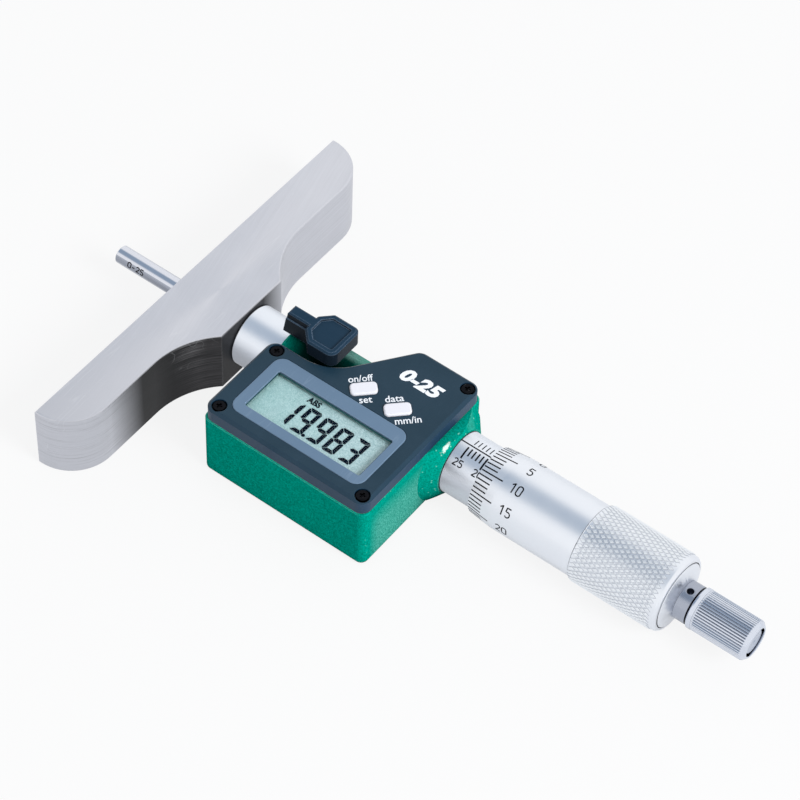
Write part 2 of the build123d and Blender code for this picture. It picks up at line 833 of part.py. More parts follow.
def make_encoder_rotor():
    """Turning disc of the encoder."""
    return tube(rotor_left, bush_left, rotor_radius, rotor_hub_radius + fixed_fit)


def make_rotor_bush():
    """Bush that carries the encoder disc and slides on the spindle."""
    bore = spindle_radius + running_fit
    bush = turned(
        (rotor_left, bore), (bush_right, bore), (bush_right, bush_radius), (bush_left, bush_radius),
        (bush_left, rotor_hub_radius), (rotor_left, rotor_hub_radius),
    )
    return bush - key_block(fixed_fit, bush_radius + 1)


def key_block(gap, outer):
    """The key's block below the axis, from the keyway's bottom out to a radius."""
    half_width = keyway_width / 2 - running_fit + gap
    half_length = key_length / 2 + gap
    inner = spindle_radius - keyway_depth + running_fit - gap
    return block((key_x - half_length, key_x + half_length), (-half_width, half_width), (-outer, -inner))


def make_rotor_key():
    """Key that turns the rotor with the spindle and lets the spindle feed."""
    return key_block(0, bush_radius - fixed_fit)


def make_rotor_spring():
    """Disc spring that holds the rotor at its gap from the stator."""
    inner = spindle_radius + running_fit * 4
    tip = inner_left - fixed_fit
    start = bush_right + running_fit
    return turned(
        (start, inner), (start + rotor_spring_thickness, inner), (tip, rotor_spring_radius),
        (tip - rotor_spring_thickness, rotor_spring_radius),
    )


def make_ratchet_stub():
    """Stub screwed into the end cap, with a tommy hole and the post that the knob turns on."""
    stud_start = end_cap_face - end_cap_wall + running_fit
    stub = turned(
        (stud_start, 0), (stud_start, stub_stud_radius), (end_cap_face, stub_stud_radius),
        (end_cap_face, stub_radius),
        (stub_end, stub_radius), (stub_end, post_radius), (post_end, post_radius), (post_end, 0),
    )
    hole = upright((end_cap_face + stub_length / 2, 0), stub_radius - tommy_hole_depth, stub_radius + 1,
                   tommy_hole_radius)
    stub -= Rot(tommy_hole_angle, 0, 0) * hole
    screw_hole = ratchet_screw_shank_radius + fixed_fit
    return stub - rod(post_end - ratchet_screw_length, post_end + 1, screw_hole)


def make_ratchet_washer():
    """Friction washer between the stub and the knob."""
    return tube(stub_end, stub_end + washer_thickness, washer_radius, post_radius + fixed_fit)


def saw_teeth(x, direction):
    """A ring of saw teeth on the plane x, rising along the direction."""
    half_width = pi * tooth_inner_radius / tooth_count - fixed_fit
    profile = make_face(Polyline(
        (x, -half_width), (x, half_width), (x + direction * tooth_height, half_width), close=True,
    ))
    tooth = Pos(0, 0, tooth_inner_radius) * extrude(profile, clutch_radius - tooth_inner_radius)
    return [Rot(number * 360 / tooth_count, 0, 0) * tooth for number in range(tooth_count)]


def make_ratchet_knob():
    """Fluted knob: plain flange, straight flutes, coned end and a bore for the spring."""
    wall_end = knob_left + knob_wall
    post_bore = post_radius + running_fit
    step = 360 / flute_count
    rim = []
    for number in range(flute_count):
        for share, radius in ((0, knob_radius), (0.45, knob_radius), (0.72, knob_radius - flute_depth)):
            angle = radians((number + share) * step)
            rim.append((radius * cos(angle), radius * sin(angle)))
    fluted = extrude(Plane.YZ.offset(flute_left) * make_face(Polyline(*rim, close=True)), flute_length)
    flange = turned(
        (knob_left, 0), (knob_left, knob_flange_radius - knob_edge),
        (knob_left + knob_edge, knob_flange_radius), (flute_left - knob_edge, knob_flange_radius),
        (flute_left, knob_flange_radius - knob_edge), (flute_left, 0),
    )
    nose = turned(
        (flute_right, 0), (flute_right, knob_radius), (knob_right - knob_edge, knob_end_radius),
        (knob_right, knob_end_radius - knob_edge), (knob_right, 0),
    )
    knob = flange + fluted + nose
    knob -= rod(knob_left - 1, wall_end + 1, post_bore)
    knob -= rod(wall_end, knob_right + 1, knob_bore_radius)
    for tooth in saw_teeth(wall_end - fixed_fit, 1):
        knob += tooth
    return knob


def make_ratchet_clutch():
    """Toothed clutch that the spring presses towards the knob's teeth."""
    face = knob_left + knob_wall - fixed_fit + 2 * tooth_height + clutch_gap
    clutch = tube(face, face + clutch_length, clutch_radius, post_radius + fixed_fit)
    for tooth in saw_teeth(face + fixed_fit, -1):
        clutch += tooth
    return clutch


def make_ratchet_spring():
    """Coil spring round the post, from the clutch to the end screw."""
    start = knob_left + knob_wall - fixed_fit + 2 * tooth_height + clutch_gap + clutch_length
    end = post_end
    length = end - start - 2 * spring_wire_radius - running_fit
    path = Helix(length / spring_turns, length, spring_radius)
    section = Plane(path @ 0, z_dir=path % 0) * RegularPolygon(spring_wire_radius, 4)
    coil = sweep(section, path, is_frenet=True)
    return Pos(start + spring_wire_radius + running_fit / 2, 0, 0) * Rot(0, 90, 0) * coil


def make_ratchet_screw():
    """Flat-headed screw that closes the knob's end."""
    head_end = post_end + ratchet_screw_head
    screw = rod(post_end, head_end, ratchet_screw_radius)
    screw = chamfer(screw.faces().sort_by(Axis.X)[-1].edges(), running_fit * 4)
    screw += rod(post_end - ratchet_screw_length + fixed_fit, post_end, ratchet_screw_shank_radius)
    dimple = turned((head_end, 0), (head_end, ratchet_screw_dimple), (head_end - ratchet_screw_dimple, 0))
    return screw - dimple


parts = {
    "base_bar": make_base_bar(),
    "neck_tube": make_neck_tube(),
    "housing": make_housing(),
    "data_port_plug": make_data_port_plug(),
    "cover_gasket": make_cover_gasket(),
    "front_cover": make_front_cover(),
    "cover_screws": make_cover_screws(),
    "display_bezel": make_display_bezel(),
    "display_window": make_display_window(),
    "lcd_panel": make_lcd_panel(),
    "lcd_connectors": make_lcd_connectors(),
    "circuit_board": make_circuit_board(),
    "button_on_off": make_button(button_centres[0]),
    "button_data": make_button(button_centres[1]),
    "battery": make_battery(),
    "battery_holder": make_battery_holder(),
    "battery_contact": make_battery_contact(),
    "battery_cap": make_battery_cap(),
    "battery_cap_oring": make_battery_cap_oring(),
    "lock_lever": make_lock_lever(),
    "lock_screw": make_lock_screw(),
    "lock_shoe": make_lock_shoe(),
    "graduated_sleeve": make_sleeve(),
    "inner_sleeve": make_inner_sleeve(),
    "adjusting_nut": make_adjusting_nut(),
    "spindle": make_spindle(),
    "measuring_rod": make_measuring_rod(),
    "rod_nut": make_rod_nut(),
    "thimble": make_thimble(),
    "end_cap": make_end_cap(),
    "encoder_stator": make_encoder_stator(),
    "encoder_rotor": make_encoder_rotor(),
    "rotor_bush": make_rotor_bush(),
    "rotor_key": make_rotor_key(),
    "rotor_spring": make_rotor_spring(),
    "ratchet_stub": make_ratchet_stub(),
    "ratchet_washer": make_ratchet_washer(),
    "ratchet_clutch": make_ratchet_clutch(),
    "ratchet_spring": make_ratchet_spring(),
    "ratchet_screw": make_ratchet_screw(),
    "ratchet_knob": make_ratchet_knob(),
}

os.makedirs("parts", exist_ok=True)
for name, part in parts.items():
    export_step(part, f"parts/{name}.step")
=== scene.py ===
import json
from math import cos, pi, radians, sin

import bmesh
import bpy
from mathutils import Matrix, Vector


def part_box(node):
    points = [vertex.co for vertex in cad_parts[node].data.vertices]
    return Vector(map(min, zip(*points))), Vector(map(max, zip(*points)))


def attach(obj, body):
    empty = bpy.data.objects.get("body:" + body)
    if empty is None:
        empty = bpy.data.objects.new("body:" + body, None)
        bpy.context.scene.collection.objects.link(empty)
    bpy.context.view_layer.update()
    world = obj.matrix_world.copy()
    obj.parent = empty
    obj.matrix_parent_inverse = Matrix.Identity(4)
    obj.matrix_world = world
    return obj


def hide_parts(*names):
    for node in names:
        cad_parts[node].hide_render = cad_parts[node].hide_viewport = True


# Looks of the digital depth micrometer. Sizes are millimetres, but metres in the meshes and the finishes.
# Angles round the spindle axis start at the top, +Z, and grow towards the display's side, -Y.

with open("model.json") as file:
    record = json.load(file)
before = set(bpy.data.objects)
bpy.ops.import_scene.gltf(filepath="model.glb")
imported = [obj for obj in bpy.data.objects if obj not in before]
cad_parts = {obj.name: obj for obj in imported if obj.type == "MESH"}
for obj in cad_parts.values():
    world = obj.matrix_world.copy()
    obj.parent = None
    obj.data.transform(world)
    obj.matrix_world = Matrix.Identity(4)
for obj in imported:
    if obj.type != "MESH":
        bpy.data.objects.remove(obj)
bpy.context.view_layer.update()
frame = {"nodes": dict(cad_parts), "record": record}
NODES = frame["nodes"]
BODIES = frame["record"]["behaviour"]["bodies"]
MM = 0.001

# Camera of the photograph
CAMERA_PLACE = (305.89, -347.77, 531.0)
CAMERA_RIGHT = (0.7940867, 0.607199, 0.0271251)
CAMERA_UP = (-0.4841969, 0.604989, 0.6320931)
CAMERA_BACK = (0.3673959, -0.5150706, 0.7744175)
CAMERA_LENS = 143.718
SENSOR = 36.0

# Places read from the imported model
THIMBLE_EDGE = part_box("thimble")[0].x / MM
THIMBLE_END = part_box("thimble")[1].x / MM
KNOB_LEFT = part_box("ratchet_knob")[0].x / MM
KNOB_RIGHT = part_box("ratchet_knob")[1].x / MM
COVER_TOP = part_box("front_cover")[1].z / MM
LCD_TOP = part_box("lcd_panel")[1].z / MM
WINDOW_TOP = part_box("display_window")[1].z / MM
HOUSING_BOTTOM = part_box("housing")[0].z / MM
ROD_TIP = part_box("measuring_rod")[0].x / MM

# Scale
SLEEVE_RADIUS = 7.25
SLEEVE_MOUTH = 73.95
ZERO_X = 101.45
INDEX_ANGLE = -1.1
ROD_RADIUS = 2.15
THIMBLE_RADIUS = 8.48
NUMBER_ANGLE = 36.8
BEVEL_LENGTH = 5.5
BEVEL_EDGE_RADIUS = 7.85
DIVISIONS = 50
DIVISION_ANGLE = 360 / DIVISIONS
FIRST_DIVISION_ANGLE = -46.4
INK_SINK = 0.05
INK_RISE = 0.012

# Grip band of the thimble
KNURL_LEFT = THIMBLE_EDGE + 26.2
KNURL_LENGTH = 21.3
KNURL_RADIUS = 9.09
KNURL_DEPTH = 0.3
KNURL_COLUMNS = 48
KNURL_PITCH = 2.06
KNURL_TOP_SHARE = 0.42
END_RING_RADIUS = 8.35
CAP_SEAT_RADIUS = 7.82
CAP_SEAT_DEPTH = 0.5

# Fluted ratchet knob
FLUTES = 48
FLUTE_DEPTH = 0.26
FLUTE_START = 0.33
FLUTE_TOP_RADIUS = 4.68
KNOB_POST_HOLE = 1.56
KNOB_SCREW_HOLE = 3.36

# Places in the finishes, in metres. Along the bar: where its near arm gets painted shade and dark lines, where the
# painted dark reflection in the hollow beside the housing starts and ends, and its painted sheen. Along the spindle:
# the boss's chips and the barrel's slope with a painted sheen.
ARM_PAINTED_SHADE = (-0.015, -0.048)
ARM_LINES = (-0.025, -0.038)
HOLLOW_STARTS = (-0.0395, -0.029)
HOLLOW_ENDS = (0.012, 0.004)
HOLLOW_SHEEN = -0.0185
BOSS_CHIPS = (0.0705, 0.0725)
SLOPE_SHEEN = (0.0365, 0.0425)
WORN_PATCH = (0.0730, -0.0040, 0.0081)
PATCH_SQUEEZE = (3.0, 0.72, 0.72)
# Height of the middle of the painted shadow under the lever, in metres
LEVER_SHADE_HEIGHT = 0.007

# Light: the grey gap overhead, as an angle round the spindle axis, half its width and its middle along the axis
GAP_ANGLE = 8.0
GAP_HALF_WIDTH = 25.0
GAP_MIDDLE = -0.37
WHITE = (1.0, 1.0, 1.0, 1.0)
GAP_GREY = (0.32, 0.4, 0.5, 1.0)
LAMP_PLACE = Vector((1.25, -0.08, 0.9))
LAMP_TARGET = Vector((0.065, 0.0, 0.0))
LAMP_WIDTH = 0.7
LAMP_POWER = 22.5

# Floor: where the grip band rests on it, and how far it reaches in metres
GRIP_BOTTOM = -9.1
FLOOR_REACH = 3.0

# Finishes by name
FINISHES = {}


def colour(tint, share=1.0):
    """A tint as it is seen, 0 to 255, made a node's colour and darkened to a share."""
    seen = [part / 255 for part in tint]
    return tuple((c / 12.92 if c <= 0.04045 else ((c + 0.055) / 1.055) ** 2.4) * share for c in seen) + (1.0,)


class Tree:
    """A node tree, with short ways to add the nodes that the finishes are made of."""

    def __init__(self, tree):
        self.tree = tree

    def fill(self, sockets, values):
        """Sockets set or linked by name or number, with spaces for the underscores in their names."""
        for key, value in values.items():
            socket = sockets[key.replace("_", " ") if isinstance(key, str) else key]
            if isinstance(value, bpy.types.NodeSocket):
                self.tree.links.new(value, socket)
            else:
                socket.default_value = value

    def add(self, kind, values=None, **settings):
        """A node with its settings made and its sockets filled."""
        made = self.tree.nodes.new(kind)
        for name, value in settings.items():
            setattr(made, name, value)
        self.fill(made.inputs, values or {})
        return made

    def maths(self, operation, first, second=0.0, third=0.0, clamp=False):
        """The result of one sum on two or three values."""
        values = {0: first, 1: second, 2: third}
        return self.add("ShaderNodeMath", values, operation=operation, use_clamp=clamp).outputs[0]

    def times(self, first, *others):
        """Values multiplied by each other."""
        for other in others:
            first = self.maths("MULTIPLY", first, other)
        return first

    def scaled(self, value, share, base, clamp=False):
        """A share of a value, added to a base."""
        return self.maths("MULTIPLY_ADD", value, share, base, clamp)

    def ranged(self, value, low, high, to_low=0.0, to_high=1.0):
        """A value stretched from one range to another and clamped."""
        return self.add("ShaderNodeMapRange", {0: value, 1: low, 2: high, 3: to_low, 4: to_high}).outputs[0]

    def blend(self, factor, first, second):
        """Two colours mixed by a factor; a tint of three numbers is taken as it is seen."""
        pair = [colour(each) if isinstance(each, tuple) and len(each) == 3 else each for each in (first, second)]
        return self.add("ShaderNodeMix", {0: factor, 6: pair[0], 7: pair[1]}, data_type="RGBA").outputs[2]

    def vector(self, operation, *given):
        """The result of a sum on one or two vectors."""
        made = self.add("ShaderNodeVectorMath", dict(enumerate(given)), operation=operation)
        return made.outputs["Value" if operation in ("LENGTH", "DISTANCE", "DOT_PRODUCT") else 0]

    def split(self, vector):
        """The three parts of a vector."""
        return self.add("ShaderNodeSeparateXYZ", {0: vector}).outputs

    def noise(self, vector, scale, detail, **values):
        """Cloudy noise."""
        return self.add("ShaderNodeTexNoise", {"Vector": vector, "Scale": scale, "Detail": detail, **values}).outputs[0]


class Finish(Tree):
    """A material: its shader, the place on the object, the way it faces there and the colour laid on so far."""

    def __init__(self, name):
        self.material = FINISHES[name] = bpy.data.materials.new(name)
        self.material.use_nodes = True
        super().__init__(self.material.node_tree)
        self.tree.nodes.clear()
        self.shader = self.add("ShaderNodeBsdfPrincipled")
        self.output = self.add("ShaderNodeOutputMaterial", {0: self.shader.outputs[0]})
        spot = self.add("ShaderNodeTexCoord").outputs
        self.place, self.facing = spot["Object"], spot["Normal"]
        self.shade = None

    def use(self, group, **values):
        """A shared group placed in the finish, at the place on the object unless it is given another."""
        made = self.add("ShaderNodeGroup", values, node_tree=group)
        place = made.inputs.get("Place")
        if place and not place.is_linked:
            self.tree.links.new(self.place, place)
        return made.outputs

    def lay(self, mask, tint, share=1.0):
        """Another colour laid over the one so far, where a mask is open."""
        self.shade = self.blend(mask if share == 1.0 else self.times(mask, share), self.shade, tint)

    def sink(self, openness, tint):
        """Painted shade: a dark colour wherever the surface isn't open."""
        self.shade = self.blend(openness, tint, self.shade)

    def bump(self, height, depth, strength=1.0, **values):
        """The normal of a surface raised by a height, with its depth in millimetres."""
        values |= {"Height": height, "Distance": depth * MM, "Strength": strength}
        return self.add("ShaderNodeBump", values).outputs[0]

    def close(self, **values):
        """The shader's own sockets filled, with the colour laid on."""
        self.fill(self.shader.inputs, {"Base_Color": self.shade, **values})


# Shared groups


def shader_group(name, inputs, outputs):
    """An empty node group from its inputs' values and its outputs' kinds."""
    group = bpy.data.node_groups.new(name, "ShaderNodeTree")
    for label, value in inputs.items():
        kind = "NodeSocketVector" if isinstance(value, tuple) else "NodeSocketFloat"
        group.interface.new_socket(label, in_out="INPUT", socket_type=kind).default_value = value
    for label, kind in outputs.items():
        group.interface.new_socket(label, in_out="OUTPUT", socket_type="NodeSocket" + kind)
    tools = Tree(group)
    return tools, tools.add("NodeGroupInput").outputs, tools.add("NodeGroupOutput").inputs


def build_grain():
    """Streaks left by grinding or turning: fine along two directions and long along the third."""
    tools, given, result = shader_group(
        "Grain", {"Place": (0, 0, 0), "Fineness": (1000, 40, 40), "Contrast": 0.5},
        {"Tone": "Float", "Height": "Float"})
    stretched = tools.vector("MULTIPLY", given["Place"], given["Fineness"])
    coarse = tools.noise(stretched, 1.0, 5.0, Roughness=0.65)
    finer = tools.add("ShaderNodeVectorMath", {0: stretched, "Scale": 3.7}, operation="SCALE").outputs[0]
    fine = tools.noise(finer, 1.0, 3.0, Roughness=0.7)
    both = tools.scaled(fine, 0.45, tools.times(coarse, 0.55))
    toned = tools.scaled(tools.maths("SUBTRACT", both, 0.5), given["Contrast"], 0.5, clamp=True)
    tools.fill(result, {"Tone": toned, "Height": both})
    return tools.tree


def build_speckle():
    """Small grains of a set size, with a share of them marked out as specks."""
    tools, given, result = shader_group(
        "Speckle", {"Place": (0, 0, 0), "Size": 0.0004, "Share": 0.2},
        {"Specks": "Float", "Grain": "Float", "Height": "Float"})
    scale = tools.maths("DIVIDE", 1.0, given["Size"])
    cells = tools.add("ShaderNodeTexVoronoi", {"Vector": given["Place"], "Scale": scale, "Randomness": 1.0}).outputs
    dice = tools.add("ShaderNodeSeparateColor", {0: cells["Color"]}).outputs[0]
    chosen = tools.maths("LESS_THAN", dice, given["Share"])
    round_dot = tools.ranged(cells["Distance"], 0.15, 0.45, 1.0, 0.0)
    grain = tools.noise(given["Place"], scale, 3.0, Roughness=0.6)
    height = tools.scaled(cells["Distance"], -0.5, grain)
    tools.fill(result, {"Specks": tools.times(chosen, round_dot), "Grain": grain, "Height": height})
    return tools.tree


def build_handling():
    """Wear from handling: faint smears over wide areas and a few thin scratches."""
    tools, given, result = shader_group(
        "Handling", {"Place": (0, 0, 0), "Smear Size": 0.012, "Scratches": 0.5},
        {"Smears": "Float", "Scratches": "Float"})
    scale = tools.maths("DIVIDE", 1.0, given["Smear Size"])
    smears = tools.noise(given["Place"], scale, 4.0, Roughness=0.55, Distortion=0.8)
    families = []
    for turn, fineness in ((0.5, 260.0), (2.1, 210.0)):
        turned = tools.add("ShaderNodeMapping", {"Vector": given["Place"], "Rotation": (turn, turn * 0.7, turn),
                                                 "Scale": (fineness, fineness * 0.04, fineness * 0.5)})
        rough = tools.noise(turned.outputs[0], 1.0, 2.0)
        crest = tools.maths("ABSOLUTE", tools.maths("SUBTRACT", rough, 0.5))
        families.append(tools.ranged(crest, 0.0, 0.006, 1.0, 0.0))
    lines = tools.maths("MAXIMUM", *families)
    scratches = tools.times(lines, tools.ranged(smears, 0.52, 0.6), given["Scratches"])
    tools.fill(result, {"Smears": tools.ranged(smears, 0.38, 0.66), "Scratches": scratches})
    return tools.tree


def build_edges():
    """Edges found by rounding them: a mask along them and the rounded normal."""
    tools, given, result = shader_group(
        "Edges", {"Radius": 0.0002, "Sharpness": 6.0}, {"Mask": "Float", "Normal": "Vector"})
    rounded = tools.add("ShaderNodeBevel", {"Radius": given["Radius"]}, samples=4).outputs[0]
    flat = tools.add("ShaderNodeNewGeometry").outputs["Normal"]
    bent = tools.maths("SUBTRACT", 1.0, tools.vector("DOT_PRODUCT", rounded, flat))
    mask = tools.maths("MULTIPLY", bent, given["Sharpness"], clamp=True)
    tools.fill(result, {"Mask": mask, "Normal": rounded})
    return tools.tree


def build_recess():
    """How open a place is: 0 deep in a hole, gap or groove, 1 on an open face."""
    tools, given, result = shader_group(
        "Recess", {"Reach": 0.002, "Shut": 0.12, "Open": 0.55}, {"Open": "Float"})
    hidden = tools.add("ShaderNodeAmbientOcclusion", {"Distance": given["Reach"]}, samples=6)
    tools.fill(result, {"Open": tools.ranged(hidden.outputs["AO"], given["Shut"], given["Open"])})
    return tools.tree


GRAIN = build_grain()
SPECKLE = build_speckle()
HANDLING = build_handling()
EDGES = build_edges()
RECESS = build_recess()


# Finishes


def turned_metal(name, tint, roughness, grit, grain=0.25, reach=0.0012, hollows=(0.12, 0.55), grooves=None,
                 painted_dark_band=None):
    """Plated or bare metal turned about the spindle: faint rings, fine grit, smears, thin scratches, and painted shade
    in holes.

    With two radii as grooves, painted shade makes the surface darker at the first. With three angles and a share as
    painted_dark_band, a painted dark reflection makes it duller from the second angle to the third, round the axis."""
    metal = Finish(name)
    rings = metal.use(GRAIN, Fineness=(2600.0, 55.0, 55.0), Contrast=grain)
    blast = metal.use(SPECKLE, Size=0.00014, Share=0.0)
    worn = metal.use(HANDLING, Smear_Size=0.011, Scratches=0.35)
    recess = metal.use(RECESS, Reach=reach, Shut=hollows[0], Open=hollows[1])
    dull = colour(tint, 0.9)
    metal.shade = metal.blend(rings["Tone"], dull, tint)
    metal.lay(blast["Grain"], dull, 0.1)
    metal.lay(worn["Scratches"], (246, 249, 253), 0.4)
    # Painted shade deep in the grooves
    if grooves:
        radius = metal.vector("LENGTH", metal.vector("MULTIPLY", metal.place, (0, 1, 1)))
        metal.sink(metal.ranged(radius, grooves[0] * MM, grooves[1] * MM), (86, 98, 120))
    # Painted shade in holes and gaps
    metal.sink(recess["Open"], (24, 24, 28))
    # A painted dark reflection in a band round the axis
    if painted_dark_band:
        start, full, end, share = painted_dark_band
        spot = metal.split(metal.place)
        angle = metal.maths("ARCTAN2", metal.times(spot[1], -1.0), spot[2])
        side = metal.times(metal.ranged(angle, radians(start), radians(full)),
                           metal.ranged(angle, radians(end), radians(end - 20)))
        metal.lay(side, (100, 110, 128), share)
    gloss = metal.scaled(blast["Grain"], 0.05, metal.scaled(worn["Smears"], 0.05, roughness - 0.02))
    height = metal.scaled(rings["Height"], grain, metal.times(blast["Height"], grit))
    metal.close(Metallic=1.0, Roughness=gloss, Normal=metal.bump(height, 0.006))


def ground_metal(name, tint, roughness):
    """Ground steel: long streaks on the flat sides, streaks along the outline on its edges, a painted highlight on its
    sharp edges, painted shade on its near arm, and a painted dark reflection with a painted sheen in its near hollow.
    """
    steel = Finish(name)
    spot, face = steel.split(steel.place), steel.split(steel.facing)
    level = steel.ranged(steel.maths("ABSOLUTE", face[2]), 0.55, 0.8)
    upright = steel.maths("SUBTRACT", 1.0, level)
    turned = steel.add("ShaderNodeMapping", {"Vector": steel.place, "Rotation": (0, 0, radians(-14))}).outputs[0]
    flat = steel.use(GRAIN, Place=turned, Fineness=(1500.0, 34.0, 900.0), Contrast=1.1)
    sides = steel.use(GRAIN, Fineness=(45.0, 45.0, 3200.0), Contrast=2.4)
    worn = steel.use(HANDLING, Smear_Size=0.016, Scratches=0.6)
    edges = steel.use(EDGES, Radius=0.00035, Sharpness=5.0)
    tone, rise = (steel.add("ShaderNodeMix", {0: level, 2: sides[part], 3: flat[part]}).outputs[0]
                  for part in ("Tone", "Height"))
    dull, glint = colour(tint, 0.8), (238, 240, 245)
    steel.shade = steel.blend(tone, dull, tint)
    steel.lay(worn["Smears"], dull, 0.12)
    # Painted shade on the near arm
    steel.lay(steel.ranged(spot[1], *ARM_PAINTED_SHADE, 0.0, 0.8), dull)
    lines = steel.times(steel.ranged(sides["Tone"], 0.45, 0.2), upright,
                        steel.ranged(spot[1], *ARM_LINES, 0.04, 0.36))
    steel.lay(lines, (120, 121, 126))
    # Painted dark reflection in the near hollow, with grain streaks, a painted sheen, darkest on the block's face
    hollow = steel.times(steel.ranged(spot[1], *HOLLOW_STARTS), steel.ranged(spot[1], *HOLLOW_ENDS),
                         steel.ranged(face[0], -0.8, -0.5), upright)
    off_sheen = steel.maths("ABSOLUTE", steel.maths("ADD", spot[1], -HOLLOW_SHEEN))
    sheen = steel.times(steel.ranged(off_sheen, 0.006, 0.001), steel.ranged(spot[2], -0.002, 0.0075))
    bright = steel.times(steel.ranged(sides["Tone"], 0.45, 0.8), sheen)
    streaked_reflection = steel.blend(steel.ranged(sides["Tone"], 0.3, 1.0), (34, 33, 34), (92, 90, 92))
    streaked_reflection = steel.blend(bright, streaked_reflection, (196, 195, 198))
    streaked_reflection = steel.blend(steel.ranged(face[0], 0.85, 0.97, 0.0, 0.9), streaked_reflection, (12, 12, 13))
    steel.lay(hollow, streaked_reflection, 0.96)
    # Painted highlight along the edges; scratches in the same pale tint
    steel.lay(edges["Mask"], glint, 0.5)
    steel.lay(worn["Scratches"], glint, 0.35)
    gloss = steel.scaled(worn["Smears"], 0.05, steel.scaled(tone, 0.12, roughness - 0.06))
    around = steel.add("ShaderNodeTangent", direction_type="RADIAL", axis="Z").outputs[0]
    steel.close(Metallic=1.0, Roughness=gloss, Anisotropic=0.55, Normal=steel.bump(rise, 0.012), Tangent=around)


def enamel(name):
    """Green enamel on a casting: orange-peel grain, specks, chips on the boss, a worn patch, and painted light: a sheen
    on its end face and far slope, a highlight along its rim, a shadow under the lever and shade in its recesses.
    """
    paint = Finish(name)
    spot, face = paint.split(paint.place), paint.split(paint.facing)
    grain = paint.use(SPECKLE, Size=0.00036, Share=0.26)
    pale = paint.use(SPECKLE, Place=paint.vector("ADD", paint.place, (0.3, 0.2, 0.1)), Size=0.0005, Share=0.05)
    worn = paint.use(HANDLING, Smear_Size=0.02, Scratches=0.2)
    edges = paint.use(EDGES, Radius=0.0003, Sharpness=4.0)
    recess = paint.use(RECESS, Reach=0.012, Shut=0.22, Open=0.5)
    paint.shade = paint.blend(paint.ranged(grain["Grain"], 0.4, 0.6), (0, 112, 96), (0, 140, 124))
    paint.lay(grain["Specks"], (0, 72, 66), 0.6)
    paint.lay(pale["Specks"], (20, 176, 148), 0.4)
    paint.lay(worn["Smears"], (0, 152, 124), 0.12)
    paint.lay(worn["Scratches"], (40, 190, 160), 0.15)

    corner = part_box("housing")[0].y
    # Painted sheen on the lower near part of the end face
    end_face_sheen = paint.times(paint.ranged(face[0], 0.9, 0.99), paint.ranged(spot[2], 0.0065, 0.001),
                           paint.ranged(spot[1], corner + 0.0022, corner + 0.005),
                           paint.ranged(grain["Grain"], 0.35, 0.65, 0.04, 0.3))
    paint.lay(end_face_sheen, (136, 190, 180))
    paint.lay(paint.times(pale["Specks"], paint.ranged(spot[0], *BOSS_CHIPS)), (150, 208, 192), 0.55)
    # Painted highlight along the casting's rim just below the cover
    cover_low, cover_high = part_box("front_cover")
    below_cover = paint.times(paint.ranged(spot[2], cover_low.z - 0.001, cover_low.z - 0.0004),
                              paint.ranged(spot[0], cover_high.x - 0.001, cover_high.x - 0.003))
    paint.lay(paint.times(edges["Mask"], below_cover), (110, 220, 196))
    reach = paint.vector("MULTIPLY", paint.vector("SUBTRACT", paint.place, WORN_PATCH), PATCH_SQUEEZE)
    ragged = paint.scaled(grain["Grain"], 0.0024, paint.vector("LENGTH", reach))
    paint.lay(paint.ranged(ragged, 0.0018, 0.0025, 1.0, 0.0), (206, 222, 214), 0.85)
    # Painted shadow under the lock lever
    low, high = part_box("lock_screw")
    from_lever = paint.vector("DISTANCE", paint.place, ((low.x + high.x) / 2, 0, LEVER_SHADE_HEIGHT))
    paint.lay(paint.ranged(from_lever, 0.0055, 0.0095, 0.95, 0.0), (0, 40, 36))
    # Painted shade in recesses
    paint.sink(recess["Open"], (0, 22, 20))
    # Painted sheen on the barrel's far slope behind the lever
    far_slope_sheen = paint.times(paint.ranged(face[1], 0.2, 0.45), paint.ranged(face[2], 0.45, 0.75),
                            paint.ranged(spot[0], *SLOPE_SHEEN), paint.ranged(grain["Grain"], 0.3, 0.7, 0.25, 0.65))
    paint.lay(far_slope_sheen, (128, 180, 170))
    paint.close(Roughness=paint.scaled(worn["Smears"], 0.08, 0.36), Specular_IOR_Level=0.0,
                Normal=paint.bump(grain["Height"], 0.035, 0.8, Normal=edges["Normal"]))


def moulded(name, tint, light, roughness, size=0.00022, depth=0.012, edge=0.35, radius=0.00025, shine=0.3,
            mottle=0.3, side=None, side_shade_share=1.0):
    """Moulded plastic: fine even texture, faint mottling and smears, rounded, glossier edges with a painted highlight,
    and painted shade in hollows.

    Its upright sides can have a painted tint of their own for the light they get, or a share of the first one as
    painted shade."""
    plastic = Finish(name)
    texture = plastic.use(SPECKLE, Size=size, Share=0.06)
    worn = plastic.use(HANDLING, Smear_Size=0.014, Scratches=0.3)
    edges = plastic.use(EDGES, Radius=radius, Sharpness=3.0)
    recess = plastic.use(RECESS, Reach=0.002)
    level = plastic.ranged(plastic.split(plastic.facing)[2], 0.2, 0.8)
    # Painted light and shade: upright sides in a tint of their own, or a darker share of the first
    plastic.shade = plastic.blend(level, colour(side or tint, side_shade_share), tint)
    # Mottling, smears and scratches in the pale tint, and a painted highlight along the edges
    for mask, share in ((texture["Grain"], mottle), (worn["Smears"], mottle * 0.4), (edges["Mask"], edge),
                        (worn["Scratches"], 0.3)):
        plastic.lay(mask, light, share)
    # Painted shade in hollows
    plastic.sink(recess["Open"], colour(tint, 0.3))
    gloss = plastic.scaled(edges["Mask"], -0.1, plastic.scaled(worn["Smears"], -0.06, roughness))
    plastic.close(Roughness=gloss, Specular_IOR_Level=shine,
                  Normal=plastic.bump(texture["Height"], depth, 0.7, Normal=edges["Normal"]))


